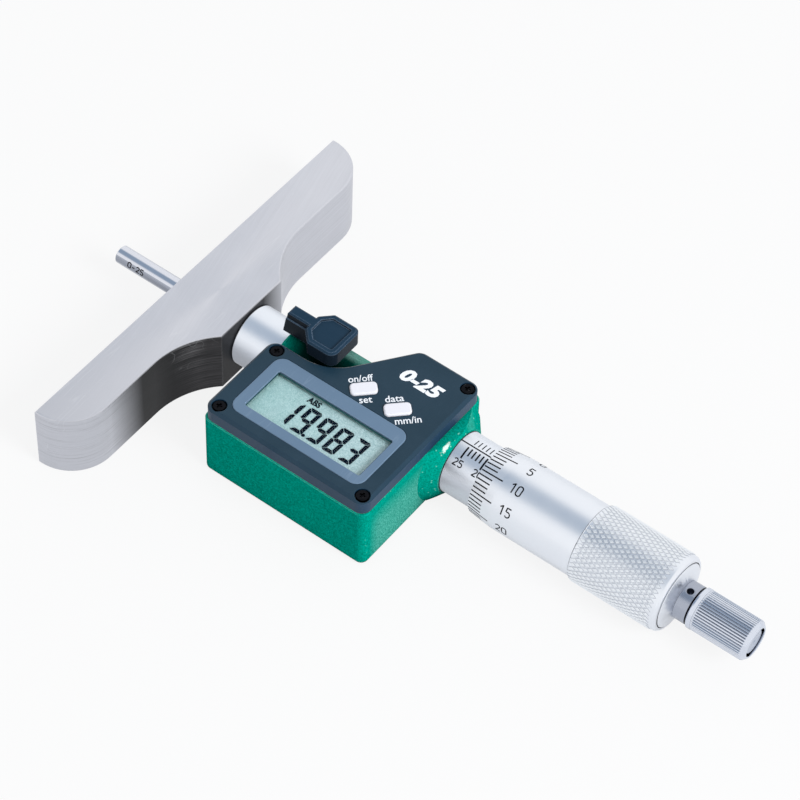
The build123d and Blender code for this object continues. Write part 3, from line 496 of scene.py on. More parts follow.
def display_face(name):
    """Reflective display: silver-green, finely grained, with a painted teal shade of the window frame towards its left
    and far edges.
    """
    face = Finish(name)
    grain = face.use(SPECKLE, Size=0.0003, Share=0.2)
    worn = face.use(HANDLING, Smear_Size=0.004, Scratches=0.0)
    low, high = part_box("lcd_panel")
    spot = face.split(face.place)
    # Painted teal shade of the window frame along the left and far edges
    rim = face.maths("MAXIMUM", face.ranged(spot[0], low.x, low.x + 0.02, 1.0, 0.0),
                     face.ranged(spot[1], high.y - 0.0015, high.y, 0.0, 1.0))
    face.shade = face.blend(face.ranged(grain["Grain"], 0.3, 0.7), (116, 148, 153), (174, 199, 202))
    face.lay(rim, (112, 168, 164), 0.4)
    face.lay(grain["Specks"], (112, 146, 150), 0.25)
    face.lay(worn["Smears"], (168, 192, 196), 0.2)
    face.close(Roughness=0.5, Normal=face.bump(grain["Height"], 0.004))


def clear_pane(name):
    """Clear window: plain glass with faint smears that dull it."""
    glass = Finish(name)
    worn = glass.use(HANDLING, Smear_Size=0.009, Scratches=0.2)
    glass.shade = colour((250, 255, 254))
    glass.close(Roughness=glass.times(worn["Smears"], 0.01), Metallic=0.0, Transmission_Weight=1.0, IOR=1.3,
                Alpha=0.15)


def ink(name, tint, wear, roughness=0.5, shine=0.2):
    """Ink or etching: even, slightly broken by the grain below it."""
    film = Finish(name)
    grain = film.use(SPECKLE, Size=0.00018, Share=0.15)
    film.shade = tint
    film.lay(grain["Specks"], wear, 0.35)
    film.lay(grain["Grain"], wear, 0.18)
    film.close(Roughness=roughness, Specular_IOR_Level=shine, Normal=film.bump(grain["Height"], 0.004))


def circuit_laminate(name, mask, trace):
    """Circuit board: solder mask with a pattern of tracks and round pads in it."""
    board = Finish(name)
    worn = board.use(HANDLING, Smear_Size=0.006, Scratches=0.2)
    black = (0.0, 0.0, 0.0, 1.0)
    tracks = board.add("ShaderNodeTexBrick", {
        "Vector": board.place, "Color1": black, "Color2": black, "Mortar": WHITE, "Scale": 260.0,
        "Mortar Size": 0.035}).outputs
    pads = board.add("ShaderNodeTexVoronoi", {"Vector": board.place, "Scale": 420.0}).outputs
    board.shade = mask
    board.lay(tracks["Color"], trace, 0.7)
    board.lay(board.ranged(pads["Distance"], 0.12, 0.18, 1.0, 0.0), (196, 190, 168))
    board.lay(worn["Smears"], mask, 0.15)
    board.close(Roughness=0.35, Normal=board.bump(tracks["Fac"], 0.02, 0.4))


ground_metal("ground_steel", (223, 225, 233), 0.34)
# The rod and the sleeve chrome carry a painted dark reflection band round the axis
turned_metal("rod_steel", (226, 229, 238), 0.11, 0.1, 0.18, painted_dark_band=(50, 54, 112, 0.6))
turned_metal("satin_chrome", (244, 248, 255), 0.32, 0.7, 0.1)
turned_metal("sleeve_chrome", (242, 247, 255), 0.32, 0.7, 0.1, painted_dark_band=(48, 66, 176, 0.29))
turned_metal("knurled_chrome", (246, 250, 255), 0.42, 0.5, 0.1, 0.0002, (0.05, 0.4),
             grooves=(KNURL_RADIUS - KNURL_DEPTH, KNURL_RADIUS - 0.12))
turned_metal("screw_steel", (186, 196, 214), 0.16, 0.2, 0.3, 0.0015, (0.3, 0.8))
turned_metal("knob_steel", (224, 230, 242), 0.1, 0.1, 0.35, 0.0012, (0.1, 0.85))
turned_metal("stub_steel", (176, 182, 196), 0.24, 0.4, 0.5, 0.0015)
enamel("green_enamel")
# The slate's upright sides get a painted lighter tint, and the lever's a painted shade
moulded("slate_plastic", (14, 40, 54), (48, 70, 88), 0.44, shine=0.22, side=(20, 48, 72))
moulded("lever_plastic", (18, 42, 60), (128, 148, 172), 0.25, 0.0003, 0.006, 0.55, 0.0004, 0.05, 0.04,
        side_shade_share=0.2)
moulded("bezel_plastic", (80, 104, 128), (164, 182, 200), 0.42, edge=0.5, mottle=0.05)
clear_pane("clear_window")
display_face("lcd_glass")
moulded("button_plastic", (198, 199, 207), (218, 219, 225), 0.3, 0.0003, 0.006)
turned_metal("black_steel", (26, 27, 31), 0.3, 0.5, 0.2, 0.0005, (0.2, 0.6))
moulded("black_rubber", (22, 23, 25), (58, 60, 64), 0.62, 0.0003, 0.02)
moulded("grey_rubber", (66, 68, 72), (104, 106, 110), 0.66, 0.0003, 0.02)
circuit_laminate("board_green", (14, 84, 52), (38, 122, 84))
turned_metal("cell_steel", (206, 208, 212), 0.24, 0.3, 0.3)
turned_metal("contact_brass", (214, 178, 104), 0.28, 0.4, 0.3)
moulded("holder_plastic", (196, 190, 172), (226, 222, 208), 0.5)
circuit_laminate("encoder_board", (150, 118, 52), (214, 176, 92))
ink("black_ink", (6, 7, 12), (30, 32, 40), 0.5, 0.1)
ink("white_ink", (214, 218, 224), (190, 196, 206))
ink("display_ink", (2, 12, 26), (8, 24, 40), 0.5, 0.03)
ink("etching", (24, 22, 26), (70, 68, 72), 0.6)
ink("border_ink", (30, 72, 74), (58, 112, 108), 0.4)


# Mesh helpers


def add_piece(name, mesh, body, slot, *replaced):
    """A finished mesh as a piece that rides on a body and may stand for CAD nodes."""
    piece = loose_object(name, mesh)
    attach(piece, body)
    if replaced:
        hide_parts(*replaced)
    return piece


def add_form(name, form, finish, body, slot, *replaced, angle=30.0):
    """A piece made from a bmesh."""
    return add_piece(name, closed_mesh(name, form, finish, angle), body, slot, *replaced)


def loose_object(name, data):
    """An object in the scene that isn't a piece, or isn't one yet."""
    made = bpy.data.objects.new(name, data)
    bpy.context.scene.collection.objects.link(made)
    return made


def closed_mesh(name, form, finish, angle=30.0):
    """A mesh from a bmesh, with its faces outwards and its shading smooth up to an angle."""
    bmesh.ops.remove_doubles(form, verts=form.verts, dist=1e-7)
    bmesh.ops.recalc_face_normals(form, faces=form.faces)
    mesh = bpy.data.meshes.new(name)
    form.to_mesh(mesh)
    form.free()
    mesh.materials.append(FINISHES[finish])
    mesh.polygons.foreach_set("use_smooth", [True] * len(mesh.polygons))
    mesh.set_sharp_from_angle(angle=radians(angle))
    return mesh


def plain_mesh(piece, name):
    """The evaluated shape of an object as a plain mesh, with the object removed."""
    bpy.context.view_layer.update()
    graph = bpy.context.evaluated_depsgraph_get()
    mesh = bpy.data.meshes.new_from_object(piece.evaluated_get(graph))
    mesh.name = name
    bpy.data.objects.remove(piece)
    return mesh


def softened(cad_node, width, segments, finish):
    """A copy of a CAD node's mesh, made whole and with its sharp edges rounded."""
    form = bmesh.new()
    form.from_mesh(NODES[cad_node].data)
    for layer in list(form.loops.layers.float_vector.values()):
        form.loops.layers.float_vector.remove(layer)
    bmesh.ops.remove_doubles(form, verts=form.verts, dist=2e-6)
    bmesh.ops.dissolve_limit(form, angle_limit=radians(0.7), verts=form.verts, edges=form.edges)
    sharp = [edge for edge in form.edges if edge.is_manifold and edge.calc_face_angle() > radians(25)]
    bmesh.ops.bevel(form, geom=sharp, offset=width * MM, offset_type="OFFSET", segments=segments, profile=0.5,
                    affect="EDGES", clamp_overlap=True)
    mesh = closed_mesh(cad_node + "_soft", form, finish, 40.0)
    for attribute in list(mesh.attributes):
        if attribute.name == "custom_normal":
            mesh.attributes.remove(attribute)
    helper = loose_object("softening", mesh)
    helper.modifiers.new("weighting", "WEIGHTED_NORMAL").keep_sharp = True
    return plain_mesh(helper, cad_node + "_soft")


def bridge(form, first, second):
    """Faces between two rings of points, of which either may be a single point."""
    count = max(len(first), len(second))
    for number in range(count):
        after = (number + 1) % count
        corners = [first[number % len(first)], first[after % len(first)],
                   second[after % len(second)], second[number % len(second)]]
        distinct = list(dict.fromkeys(corners))
        if len(distinct) > 2:
            form.faces.new(distinct)


def lathe(profile, segments=192, shape=None):
    """A closed solid turned about the spindle axis from (x, radius) points, with its radius changed by a rule."""
    form = bmesh.new()
    rings = []
    for x, radius in profile:
        ring = []
        for number in range(segments):
            turn = 2 * pi * number / segments
            r = radius * MM if shape is None else shape(x, radius, turn) * MM
            ring.append(form.verts.new((x * MM, -r * sin(turn), r * cos(turn))))
        rings.append(ring)
    for first, second in zip(rings, rings[1:] + rings[:1]):
        bridge(form, first, second)
    return form


def rounded_profile(points, radius, steps=3):
    """A profile with its inner corners rounded by short arcs; a point given as a triple stays sharp."""
    plain = [Vector(point[:2]) for point in points]
    result = [tuple(plain[0])]
    for before, here, after, given in zip(plain, plain[1:], plain[2:], points[1:]):
        if len(given) == 3:
            result.append(tuple(here))
            continue
        back, on = (before - here), (after - here)
        reach = min(radius, back.length * 0.45, on.length * 0.45)
        start, end = here + back.normalized() * reach, here + on.normalized() * reach
        for step in range(steps + 1):
            share = step / steps
            mixed = start * (1 - share) ** 2 + here * 2 * share * (1 - share) + end * share ** 2
            result.append(tuple(mixed))
    result.append(tuple(plain[-1]))
    return result


def on_cylinder(radius, x_start, angle):
    """Where a flat point (along, up, out) lands on a cylinder, its up direction towards smaller angles."""
    def place(along, up, out):
        turn = radians(angle) - up / radius
        r = radius + out
        return ((x_start + along) * MM, -r * sin(turn) * MM, r * cos(turn) * MM)
    return place


def on_cover(height, x, y, angle=0.0):
    """Where a flat point (along, up, out) lands on a level surface, turned by an angle."""
    def place(along, up, out):
        turn = radians(angle)
        return ((x + along * cos(turn) - up * sin(turn)) * MM, (y + along * sin(turn) + up * cos(turn)) * MM,
                (height + out) * MM)
    return place


def stroke(form, points, width, place, loop=False):
    """A line of ink along points, as a thin closed bar laid on a surface."""
    path = []
    ends = list(zip(points, points[1:] + points[:1])) if loop else list(zip(points, points[1:]))
    for first, second in ends:
        parts = max(1, int((Vector(second) - Vector(first)).length / 0.2))
        path += [Vector(first).lerp(Vector(second), part / parts) for part in range(parts)]
    if not loop:
        path.append(Vector(points[-1]))
    sections = []
    for number, here in enumerate(path):
        before = path[number - 1] if number or loop else here
        after = path[(number + 1) % len(path)] if number < len(path) - 1 or loop else here
        along = (after - before).normalized()
        across = Vector((-along.y, along.x)) * width / 2
        left, right = here + across, here - across
        corners = ((left, -INK_SINK), (right, -INK_SINK), (right, INK_RISE), (left, INK_RISE))
        sections.append([form.verts.new(place(spot.x, spot.y, out)) for spot, out in corners])
    if not loop:
        form.faces.new(sections[0])
        form.faces.new(sections[-1])
    for first, second in zip(sections, sections[1:] + sections[:1] if loop else sections[1:]):
        bridge(form, first, second)


def arc(centre_x, centre_y, radius_x, radius_y, start, end, steps=10):
    """Points along part of an ellipse, its angles in degrees."""
    turns = [radians(start + (end - start) * step / steps) for step in range(steps + 1)]
    return [(centre_x + radius_x * cos(turn), centre_y + radius_y * sin(turn)) for turn in turns]


# The engraved figures, each a list of lines in a box half as wide as it is high
FIGURES = {
    "0": [arc(0.25, 0.75, 0.22, 0.22, 0, 180) + arc(0.25, 0.25, 0.22, 0.22, 180, 360)],
    "1": [[(0.06, 0.74), (0.3, 0.96)], [(0.3, 1.0), (0.3, 0.0)]],
    "2": [arc(0.25, 0.74, 0.21, 0.23, 165, -35) + [(0.03, 0.04)], [(0.0, 0.04), (0.49, 0.04)]],
    "3": [arc(0.25, 0.75, 0.2, 0.22, 150, -90), arc(0.25, 0.28, 0.23, 0.25, 90, -150)],
    "4": [[(0.34, 1.0), (0.02, 0.26), (0.52, 0.26)], [(0.37, 0.48), (0.37, 0.0)]],
    "5": [[(0.46, 0.96), (0.08, 0.96), (0.05, 0.55)], arc(0.24, 0.31, 0.23, 0.28, 125, -145)],
    "-": [[(0.08, 0.45), (0.42, 0.45)]],
}
FIGURE_STEP = 1.24


def figures(form, text, height, width, line, place):
    """Engraved figures of one number, centred on the place."""
    step = width * FIGURE_STEP
    total = step * (len(text) - 1) + width
    for number, sign in enumerate(text):
        left = number * step - total / 2
        for points in FIGURES[sign]:
            drawn = [(left + x * 2 * width, (y - 0.5) * height) for x, y in points]
            closes = sign == "0"
            stroke(form, drawn[:-1] if closes else drawn, line, place, closes)


# How high the font's capitals are, as a share of its size
CAPITAL = 0.69


def lettering(form, text, height, length, weight, place, slant=0.0):
    """Printed letters, centred on the place, as high as a capital is to be and as long as the word is to be."""
    data = bpy.data.curves.new("letters", "FONT")
    data.body = text
    data.size = 1.0
    data.shear = slant
    data.offset = weight
    data.extrude = 0.5
    data.resolution_u = 3
    flat = plain_mesh(loose_object("letters", data), "letters")
    spots = [vertex.co.copy() for vertex in flat.vertices]
    low = min(spot.x for spot in spots)
    high = max(spot.x for spot in spots)
    made = []
    for spot in spots:
        along = ((spot.x - low) / (high - low) - 0.5) * length
        up = (spot.y / CAPITAL - 0.5) * height
        made.append(form.verts.new(place(along, up, INK_RISE if spot.z > 0 else -INK_SINK)))
    for polygon in flat.polygons:
        form.faces.new([made[index] for index in polygon.vertices])
    bpy.data.meshes.remove(flat)


def flat_bar(form, corners, place, sink=0.004):
    """A thin closed plate with the given outline."""
    low, high = ([form.verts.new(place(x, y, out)) for x, y in corners] for out in (-sink, INK_RISE))
    form.faces.new(low)
    form.faces.new(high)
    bridge(form, low, high)


def build_round_repeat():
    """Geometry Nodes: copies of a piece round the spindle axis and along it, in columns and rows."""
    tools = Tree(bpy.data.node_groups.new("Round The Spindle", "GeometryNodeTree"))
    new_socket = tools.tree.interface.new_socket
    new_socket("Geometry", in_out="INPUT", socket_type="NodeSocketGeometry")
    for kind, label in (("Object", "Piece"), ("Int", "Columns"), ("Int", "Rows"), ("Float", "Column Angle"),
                        ("Float", "Row Angle"), ("Float", "Row Step"), ("Float", "Start Angle"),
                        ("Material", "Finish")):
        new_socket(label, in_out="INPUT", socket_type="NodeSocket" + kind)
    new_socket("Geometry", in_out="OUTPUT", socket_type="NodeSocketGeometry")
    given = tools.add("NodeGroupInput").outputs
    count = tools.times(given["Columns"], given["Rows"])
    line = tools.add("GeometryNodeMeshLine", {"Count": count, "Offset": (0, 0, 0)})
    index = tools.add("GeometryNodeInputIndex").outputs[0]
    row = tools.maths("FLOOR", tools.maths("DIVIDE", tools.maths("ADD", index, 0.5), given["Columns"]))
    column = tools.maths("SUBTRACT", index, tools.times(row, given["Columns"]))
    angle = tools.scaled(column, given["Column Angle"], given["Start Angle"])
    angle = tools.scaled(row, given["Row Angle"], angle)
    turn = tools.add("ShaderNodeCombineXYZ", {0: angle}).outputs[0]
    shift = tools.add("ShaderNodeCombineXYZ", {0: tools.times(row, given["Row Step"])}).outputs[0]
    placed = tools.add("GeometryNodeSetPosition", {"Geometry": line.outputs[0], "Position": shift})
    piece = tools.add("GeometryNodeObjectInfo", {"Object": given["Piece"]})
    copies = tools.add("GeometryNodeInstanceOnPoints", {
        "Points": placed.outputs[0], "Instance": piece.outputs["Geometry"], "Rotation": turn})
    real = tools.add("GeometryNodeRealizeInstances", {"Geometry": copies.outputs[0]})
    finished = tools.add("GeometryNodeSetMaterial", {"Geometry": real.outputs[0], "Material": given["Finish"]})
    tools.add("NodeGroupOutput", {0: finished.outputs[0]})
    return tools.tree


ROUND_REPEAT = build_round_repeat()


def repeated(name, mesh, finish, columns=1, rows=1, column_angle=0.0, row_angle=0.0, row_step=0.0,
             start_angle=0.0):
    """A plain mesh of copies round and along the spindle axis; angles in degrees, steps in millimetres."""
    model = loose_object("model", mesh)
    carrier = loose_object("carrier", bpy.data.meshes.new("carrier"))
    modifier = carrier.modifiers.new("repeat", "NODES")
    modifier.node_group = ROUND_REPEAT
    values = {
        "Piece": model, "Columns": columns, "Rows": rows, "Column Angle": radians(column_angle),
        "Row Angle": radians(row_angle), "Row Step": row_step * MM, "Start Angle": radians(start_angle),
        "Finish": FINISHES[finish],
    }
    for item in ROUND_REPEAT.interface.items_tree:
        if item.in_out == "INPUT" and item.name in values:
            modifier[item.identifier] = values[item.name]
    result = plain_mesh(carrier, name)
    bpy.data.objects.remove(model)
    return result


# Graduated sleeve and thimble


def scale_mark(x_start, x_end, width, radius_start, radius_end):
    """One straight mark along the axis at the top, thin and sunk in the surface."""
    form = bmesh.new()
    corners = [form.verts.new((x * MM, side * width / 2 * MM, (radius + out) * MM))
               for out in (-INK_SINK, INK_RISE)
               for x, radius in ((x_start, radius_start), (x_end, radius_end)) for side in (-1, 1)]
    for face in ((0, 1, 3, 2), (4, 6, 7, 5), (0, 2, 6, 4), (1, 5, 7, 3), (0, 4, 5, 1), (2, 3, 7, 6)):
        form.faces.new([corners[index] for index in face])
    return closed_mesh("mark", form, "black_ink")


def round_mark(x, width, angle_start, angle_end):
    """One mark round the sleeve, at a place along it."""
    form = bmesh.new()
    start, end = -radians(angle_start) * SLEEVE_RADIUS, -radians(angle_end) * SLEEVE_RADIUS
    stroke(form, [(0.0, start), (0.0, end)], width, on_cylinder(SLEEVE_RADIUS, x, 0))
    return closed_mesh("mark", form, "black_ink")


def joined(meshes):
    """Several meshes as one bmesh."""
    form = bmesh.new()
    for mesh in meshes:
        form.from_mesh(mesh)
        bpy.data.meshes.remove(mesh)
    return form


# Marks round the sleeve: the reading of the last one, line width, start and end angle, how many and how far apart
SLEEVE_MARKS = (
    (25.0, 0.36, 4.1, 19.3, 26, 1.0),
    (25.0, 0.4, 4.1, 28.0, 6, 5.0),
    (24.5, 0.23, -5.5, -20.0, 25, 1.0),
)


def make_sleeve_scale():
    """The sleeve's index line, millimetre and half-millimetre marks and numbers."""
    index_line = scale_mark(SLEEVE_MOUTH + 0.1, ZERO_X + 0.4, 0.32, SLEEVE_RADIUS, SLEEVE_RADIUS)
    marks = [repeated("index", index_line, "black_ink", start_angle=INDEX_ANGLE)]
    for reading, width, start, end, rows, step in SLEEVE_MARKS:
        mark = round_mark(ZERO_X - reading, width, start, end)
        marks.append(repeated("marks", mark, "black_ink", rows=rows, row_step=step))
    form = bmesh.new()
    for number in range(0, 26, 5):
        figures(form, str(number), 1.6, 1.03, 0.27, on_cylinder(SLEEVE_RADIUS, ZERO_X - number, NUMBER_ANGLE))
    marks.append(closed_mesh("numbers", form, "black_ink"))
    add_form("sleeve_scale", joined(marks), "black_ink", "instrument", "black_rubber")


def make_sleeve_seal():
    """A thin black ring round the sleeve where it leaves the housing."""
    left, right = SLEEVE_MOUTH - 0.2, SLEEVE_MOUTH + 0.22
    lip, root = SLEEVE_RADIUS + 0.07, SLEEVE_RADIUS - 0.1
    form = lathe([(left, root), (left, lip), (right - 0.06, lip), (right, root)])
    add_form("sleeve_seal", form, "black_rubber", "instrument", "black_rubber", "graduated_sleeve")


def make_thimble():
    """The thimble's turned body, with the grip band's core, its end ring and its open bore."""
    knurl_right = KNURL_LEFT + KNURL_LENGTH
    core = KNURL_RADIUS - KNURL_DEPTH
    groove_left, groove = KNURL_LEFT - 0.12, THIMBLE_RADIUS - 0.14
    bore = SLEEVE_RADIUS + 0.05
    inner = 6.22
    spindle_rear = THIMBLE_END - 4.2
    seat = THIMBLE_END - CAP_SEAT_DEPTH
    outside = [
        (THIMBLE_EDGE, bore, 0), (THIMBLE_EDGE, BEVEL_EDGE_RADIUS, 0),
        (THIMBLE_EDGE + BEVEL_LENGTH, THIMBLE_RADIUS), (groove_left, THIMBLE_RADIUS, 0), (groove_left, groove, 0),
        (KNURL_LEFT, groove, 0), (KNURL_LEFT, core - 0.1), (KNURL_LEFT + 0.25, core + 0.06),
        (knurl_right - 0.12, core + 0.06), (THIMBLE_END, END_RING_RADIUS), (THIMBLE_END, CAP_SEAT_RADIUS, 0),
        (seat, CAP_SEAT_RADIUS, 0), (seat, inner, 0), (spindle_rear, inner, 0), (spindle_rear, bore, 0),
        (THIMBLE_EDGE, bore, 0),
    ]
    form = lathe(rounded_profile(outside, 0.25)[:-1], 240)
    add_form("thimble_body", form, "satin_chrome", "spindle_group", "satin_chrome", "thimble", angle=35.0)


def make_knurl():
    """Diamonds of the grip band, each a small pyramid with a worn top."""
    form = bmesh.new()
    half_x = KNURL_PITCH / 2
    half_turn = pi / KNURL_COLUMNS
    low = KNURL_RADIUS - KNURL_DEPTH - 0.02
    rings = []
    for share, radius in ((1.0, low - 0.1), (1.0, low), (KNURL_TOP_SHARE, KNURL_RADIUS)):
        ring = []
        for x_side, turn_side in ((-1, 0), (0, 1), (1, 0), (0, -1)):
            turn = turn_side * half_turn * share
            x = KNURL_LEFT + half_x + 0.05 + x_side * half_x * share
            ring.append(form.verts.new((x * MM, -radius * sin(turn) * MM, radius * cos(turn) * MM)))
        rings.append(ring)
    form.faces.new(rings[0])
    form.faces.new(rings[-1])
    for first, second in zip(rings, rings[1:]):
        bridge(form, first, second)
    diamond = closed_mesh("diamond", form, "knurled_chrome", 10)
    rows = int((KNURL_LENGTH - KNURL_PITCH) / half_x) + 1
    mesh = repeated("thimble_knurl", diamond, "knurled_chrome", KNURL_COLUMNS, rows, 360 / KNURL_COLUMNS,
                    180 / KNURL_COLUMNS, half_x)
    add_piece("thimble_knurl", mesh, "spindle_group", "knurled_chrome", "thimble")


def make_thimble_scale():
    """The thimble's fifty divisions and their numbers."""
    slope = (THIMBLE_RADIUS - BEVEL_EDGE_RADIUS) / BEVEL_LENGTH
    margin = 0.05
    start = THIMBLE_EDGE + margin
    marks = []
    for length, columns in ((3.38, DIVISIONS), (BEVEL_LENGTH, DIVISIONS // 5)):
        mark = scale_mark(start, start + length, 0.3, BEVEL_EDGE_RADIUS + margin * slope,
                          BEVEL_EDGE_RADIUS + (length + margin) * slope)
        marks.append(repeated("divisions", mark, "black_ink", columns=columns, column_angle=360 / columns,
                              start_angle=FIRST_DIVISION_ANGLE))
    form = bmesh.new()
    for number in range(0, DIVISIONS, 5):
        angle = FIRST_DIVISION_ANGLE + number * DIVISION_ANGLE
        figures(form, str(number), 2.3, 1.28, 0.3, on_cylinder(THIMBLE_RADIUS, THIMBLE_EDGE + 9.0, angle))
    marks.append(closed_mesh("numbers", form, "black_ink"))
    add_form("thimble_scale", joined(marks), "black_ink", "spindle_group", "black_rubber")


def make_rod_etching():
    """The range etched on the measuring rod near its tip."""
    form = bmesh.new()
    figures(form, "0-25", 1.4, 0.95, 0.27, on_cylinder(ROD_RADIUS, ROD_TIP + 5.9, 69.0))
    add_form("rod_etching", form, "etching", "spindle_group", "black_rubber")


def make_knob():
    """The fluted knob, with its flange, coned end, rim and open end."""
    left, right = KNOB_LEFT + 1.25, KNOB_RIGHT - 1.05

    def fluted(x, radius, turn):
        if radius < 4.5 or x < left or x > right + 0.3:
            return radius
        fade = min(1.0, (x - left) / 0.35, (right + 0.25 - x) / 0.45)
        phase = (turn * FLUTES / (2 * pi) + FLUTE_START) % 1.0
        hollow = max(0.0, 1 - abs(phase - 0.5) / 0.28) ** 0.7
        return radius - FLUTE_DEPTH * max(0.0, fade) * hollow

    steps = 24
    along = {left + step * (right - left) / steps for step in range(steps + 1)}
    along |= {left + share for share in (0.1, 0.2, 0.35)} | {right - share for share in (0.3, 0.2, 0.1)}
    flange = [(KNOB_LEFT, KNOB_POST_HOLE), (KNOB_LEFT, 4.55), (KNOB_LEFT + 0.2, 4.75), (left - 0.25, 4.75),
              (left - 0.05, 4.6)]
    nose = [(right + 0.1, 4.64), (right + 0.25, 4.55), (KNOB_RIGHT - 0.3, 4.05), (KNOB_RIGHT - 0.1, 3.85),
            (KNOB_RIGHT, 3.62), (KNOB_RIGHT, 3.5), (KNOB_RIGHT - 0.12, KNOB_SCREW_HOLE),
            (KNOB_LEFT + 3.0, KNOB_SCREW_HOLE), (KNOB_LEFT + 3.0, KNOB_POST_HOLE)]
    profile = flange + [(x, FLUTE_TOP_RADIUS) for x in sorted(along)] + nose
    form = lathe(profile, FLUTES * 10, fluted)
    add_form("knob_grip", form, "knob_steel", "ratchet_grip", "screw_steel", "ratchet_knob", angle=38.0)


# Display and cover


SEGMENTS_LIT = {"1": "bc", "9": "abcdfg", "8": "abcdefg", "3": "abcdg"}


def segment_outlines(width, height, line, gap, cut):
    """The seven bars of a display figure, each a list of corners in the figure's box."""
    middle, half = height / 2, line / 2
    top = [(gap + cut, height), (width - gap - cut, height), (width - gap - cut / 2, height - cut / 2),
           (width - line - gap, height - line), (line + gap, height - line), (gap + cut / 2, height - cut / 2)]
    left = [(0, height - gap - cut), (cut / 2, height - gap - cut / 2), (line, height - line - gap),
            (line, middle + half + gap), (half, middle + gap), (0, middle + gap + 0.1)]
    bar = [(half + gap, middle), (line + gap, middle + half), (width - line - gap, middle + half),
           (width - half - gap, middle), (width - line - gap, middle - half), (line + gap, middle - half)]

    def flip(points, across, down):
        return [(width - x if across else x, height - y if down else y) for x, y in points]

    return {"a": top, "f": left, "g": bar, "b": flip(left, True, False), "e": flip(left, False, True),
            "c": flip(left, True, True), "d": flip(top, False, True)}


def make_display_figures():
    """The reading 19.983, its point and the ABS sign, on the display."""
    form = bmesh.new()
    width, height, pitch, lean = 3.3, 7.4, 4.28, 0.05
    left, front = 41.05, -22.3
    outlines = segment_outlines(width, height, line=1.0, gap=0.06, cut=0.4)
    for number, sign in enumerate("19983"):
        place = on_cover(LCD_TOP, left + pitch * number, front)
        for bar in SEGMENTS_LIT[sign]:
            flat_bar(form, [(x + y * lean, y) for x, y in outlines[bar]], place)
    flat_bar(form, arc(0, 0, 0.44, 0.44, 0, 330, 11), on_cover(LCD_TOP, 49.05, -21.9))
    lettering(form, "ABS", 1.45, 3.35, 0.05, on_cover(LCD_TOP, 45.45, -13.5))
    add_form("display_figures", form, "display_ink", "instrument", "lcd_glass")


def make_window_border():
    """The thin dark teal border round the window."""
    form = bmesh.new()
    low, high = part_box("display_window")
    lip, line, rim = 0.85, 0.28, 0.4
    left, right = low.x / MM + lip, high.x / MM - lip
    front, back = low.y / MM + lip, high.y / MM - lip
    place = on_cover(WINDOW_TOP - 0.02, 0, 0)
    for x_low, x_high, y_low, y_high in (
        (left - rim, right + rim, back - line, back + rim), (left - rim, right + rim, front - rim, front + line * 0.5),
        (left - rim, left + line * 0.6, front, back), (right - line, right + rim, front, back),
    ):
        flat_bar(form, [(x_low, y_low), (x_high, y_low), (x_high, y_high), (x_low, y_high)], place)
    add_form("window_border", form, "border_ink", "instrument", "clear_window")


# Words at the keys: text, place and length
KEY_WORDS = (("on/off", 49.6, -3.1, 5.3), ("set", 53.95, -7.0, 2.75), ("data", 58.5, -3.0, 4.0),
             ("mm/in", 64.3, -5.85, 5.6))


def make_cover_lettering():
    """Printed words at the keys, and the measuring range at the cover's corner."""
    form = bmesh.new()
    for text, x, y, length in KEY_WORDS:
        lettering(form, text, 1.75, length, 0.01, on_cover(COVER_TOP, x, y, angle=45.0))
    lettering(form, "0-25", 3.1, 10.2, 0.05, on_cover(COVER_TOP, 60.6, 3.8), slant=0.22)
    add_form("cover_lettering", form, "white_ink", "instrument", "button_plastic")


# Pieces copied from the CAD nodes: width of their rounded edges, its segments, slot, and finish if it isn't the slot's
SOFT_EDGES = {
    "base_bar": (0.07, 2, "ground_steel"),
    "neck_tube": (0.08, 2, "satin_chrome", "sleeve_chrome"),
    "housing": (0.22, 3, "green_enamel"),
    "front_cover": (0.16, 3, "slate_plastic"),
    "cover_screws": (0.06, 2, "black_steel"),
    "display_bezel": (0.07, 2, "bezel_plastic"),
    "button_on_off": (0.2, 3, "button_plastic"),
    "button_data": (0.2, 3, "button_plastic"),
    "battery_cap": (0.1, 2, "satin_chrome"),
    "data_port_plug": (0.12, 2, "black_rubber"),
    "lock_lever": (0.55, 5, "slate_plastic", "lever_plastic"),
    "graduated_sleeve": (0.05, 2, "satin_chrome", "sleeve_chrome"),
    "measuring_rod": (0.05, 2, "rod_steel"),
    "end_cap": (0.08, 2, "satin_chrome"),
    "ratchet_stub": (0.05, 2, "screw_steel", "stub_steel"),
    "ratchet_screw": (0.08, 2, "screw_steel"),
}


def make_soft_pieces():
    """The outer CAD pieces, with rounded edges and their finish; the two big ones stay out of the chrome's mirror."""
    for name, (width, segments, slot, *own) in SOFT_EDGES.items():
        body = next(body for body, members in BODIES.items() if name in members)
        mesh = softened(name, width, segments, own[0] if own else slot)
        add_piece(name + "_soft", mesh, body, slot, name).visible_glossy = name not in ("housing", "base_bar")


def finish_nodes():
    """The finish of every CAD node that stays as it is."""
    for obj in NODES.values():
        for slot in obj.material_slots:
            slot.material = FINISHES[slot.material.name.split(".")[0]]


# Stage


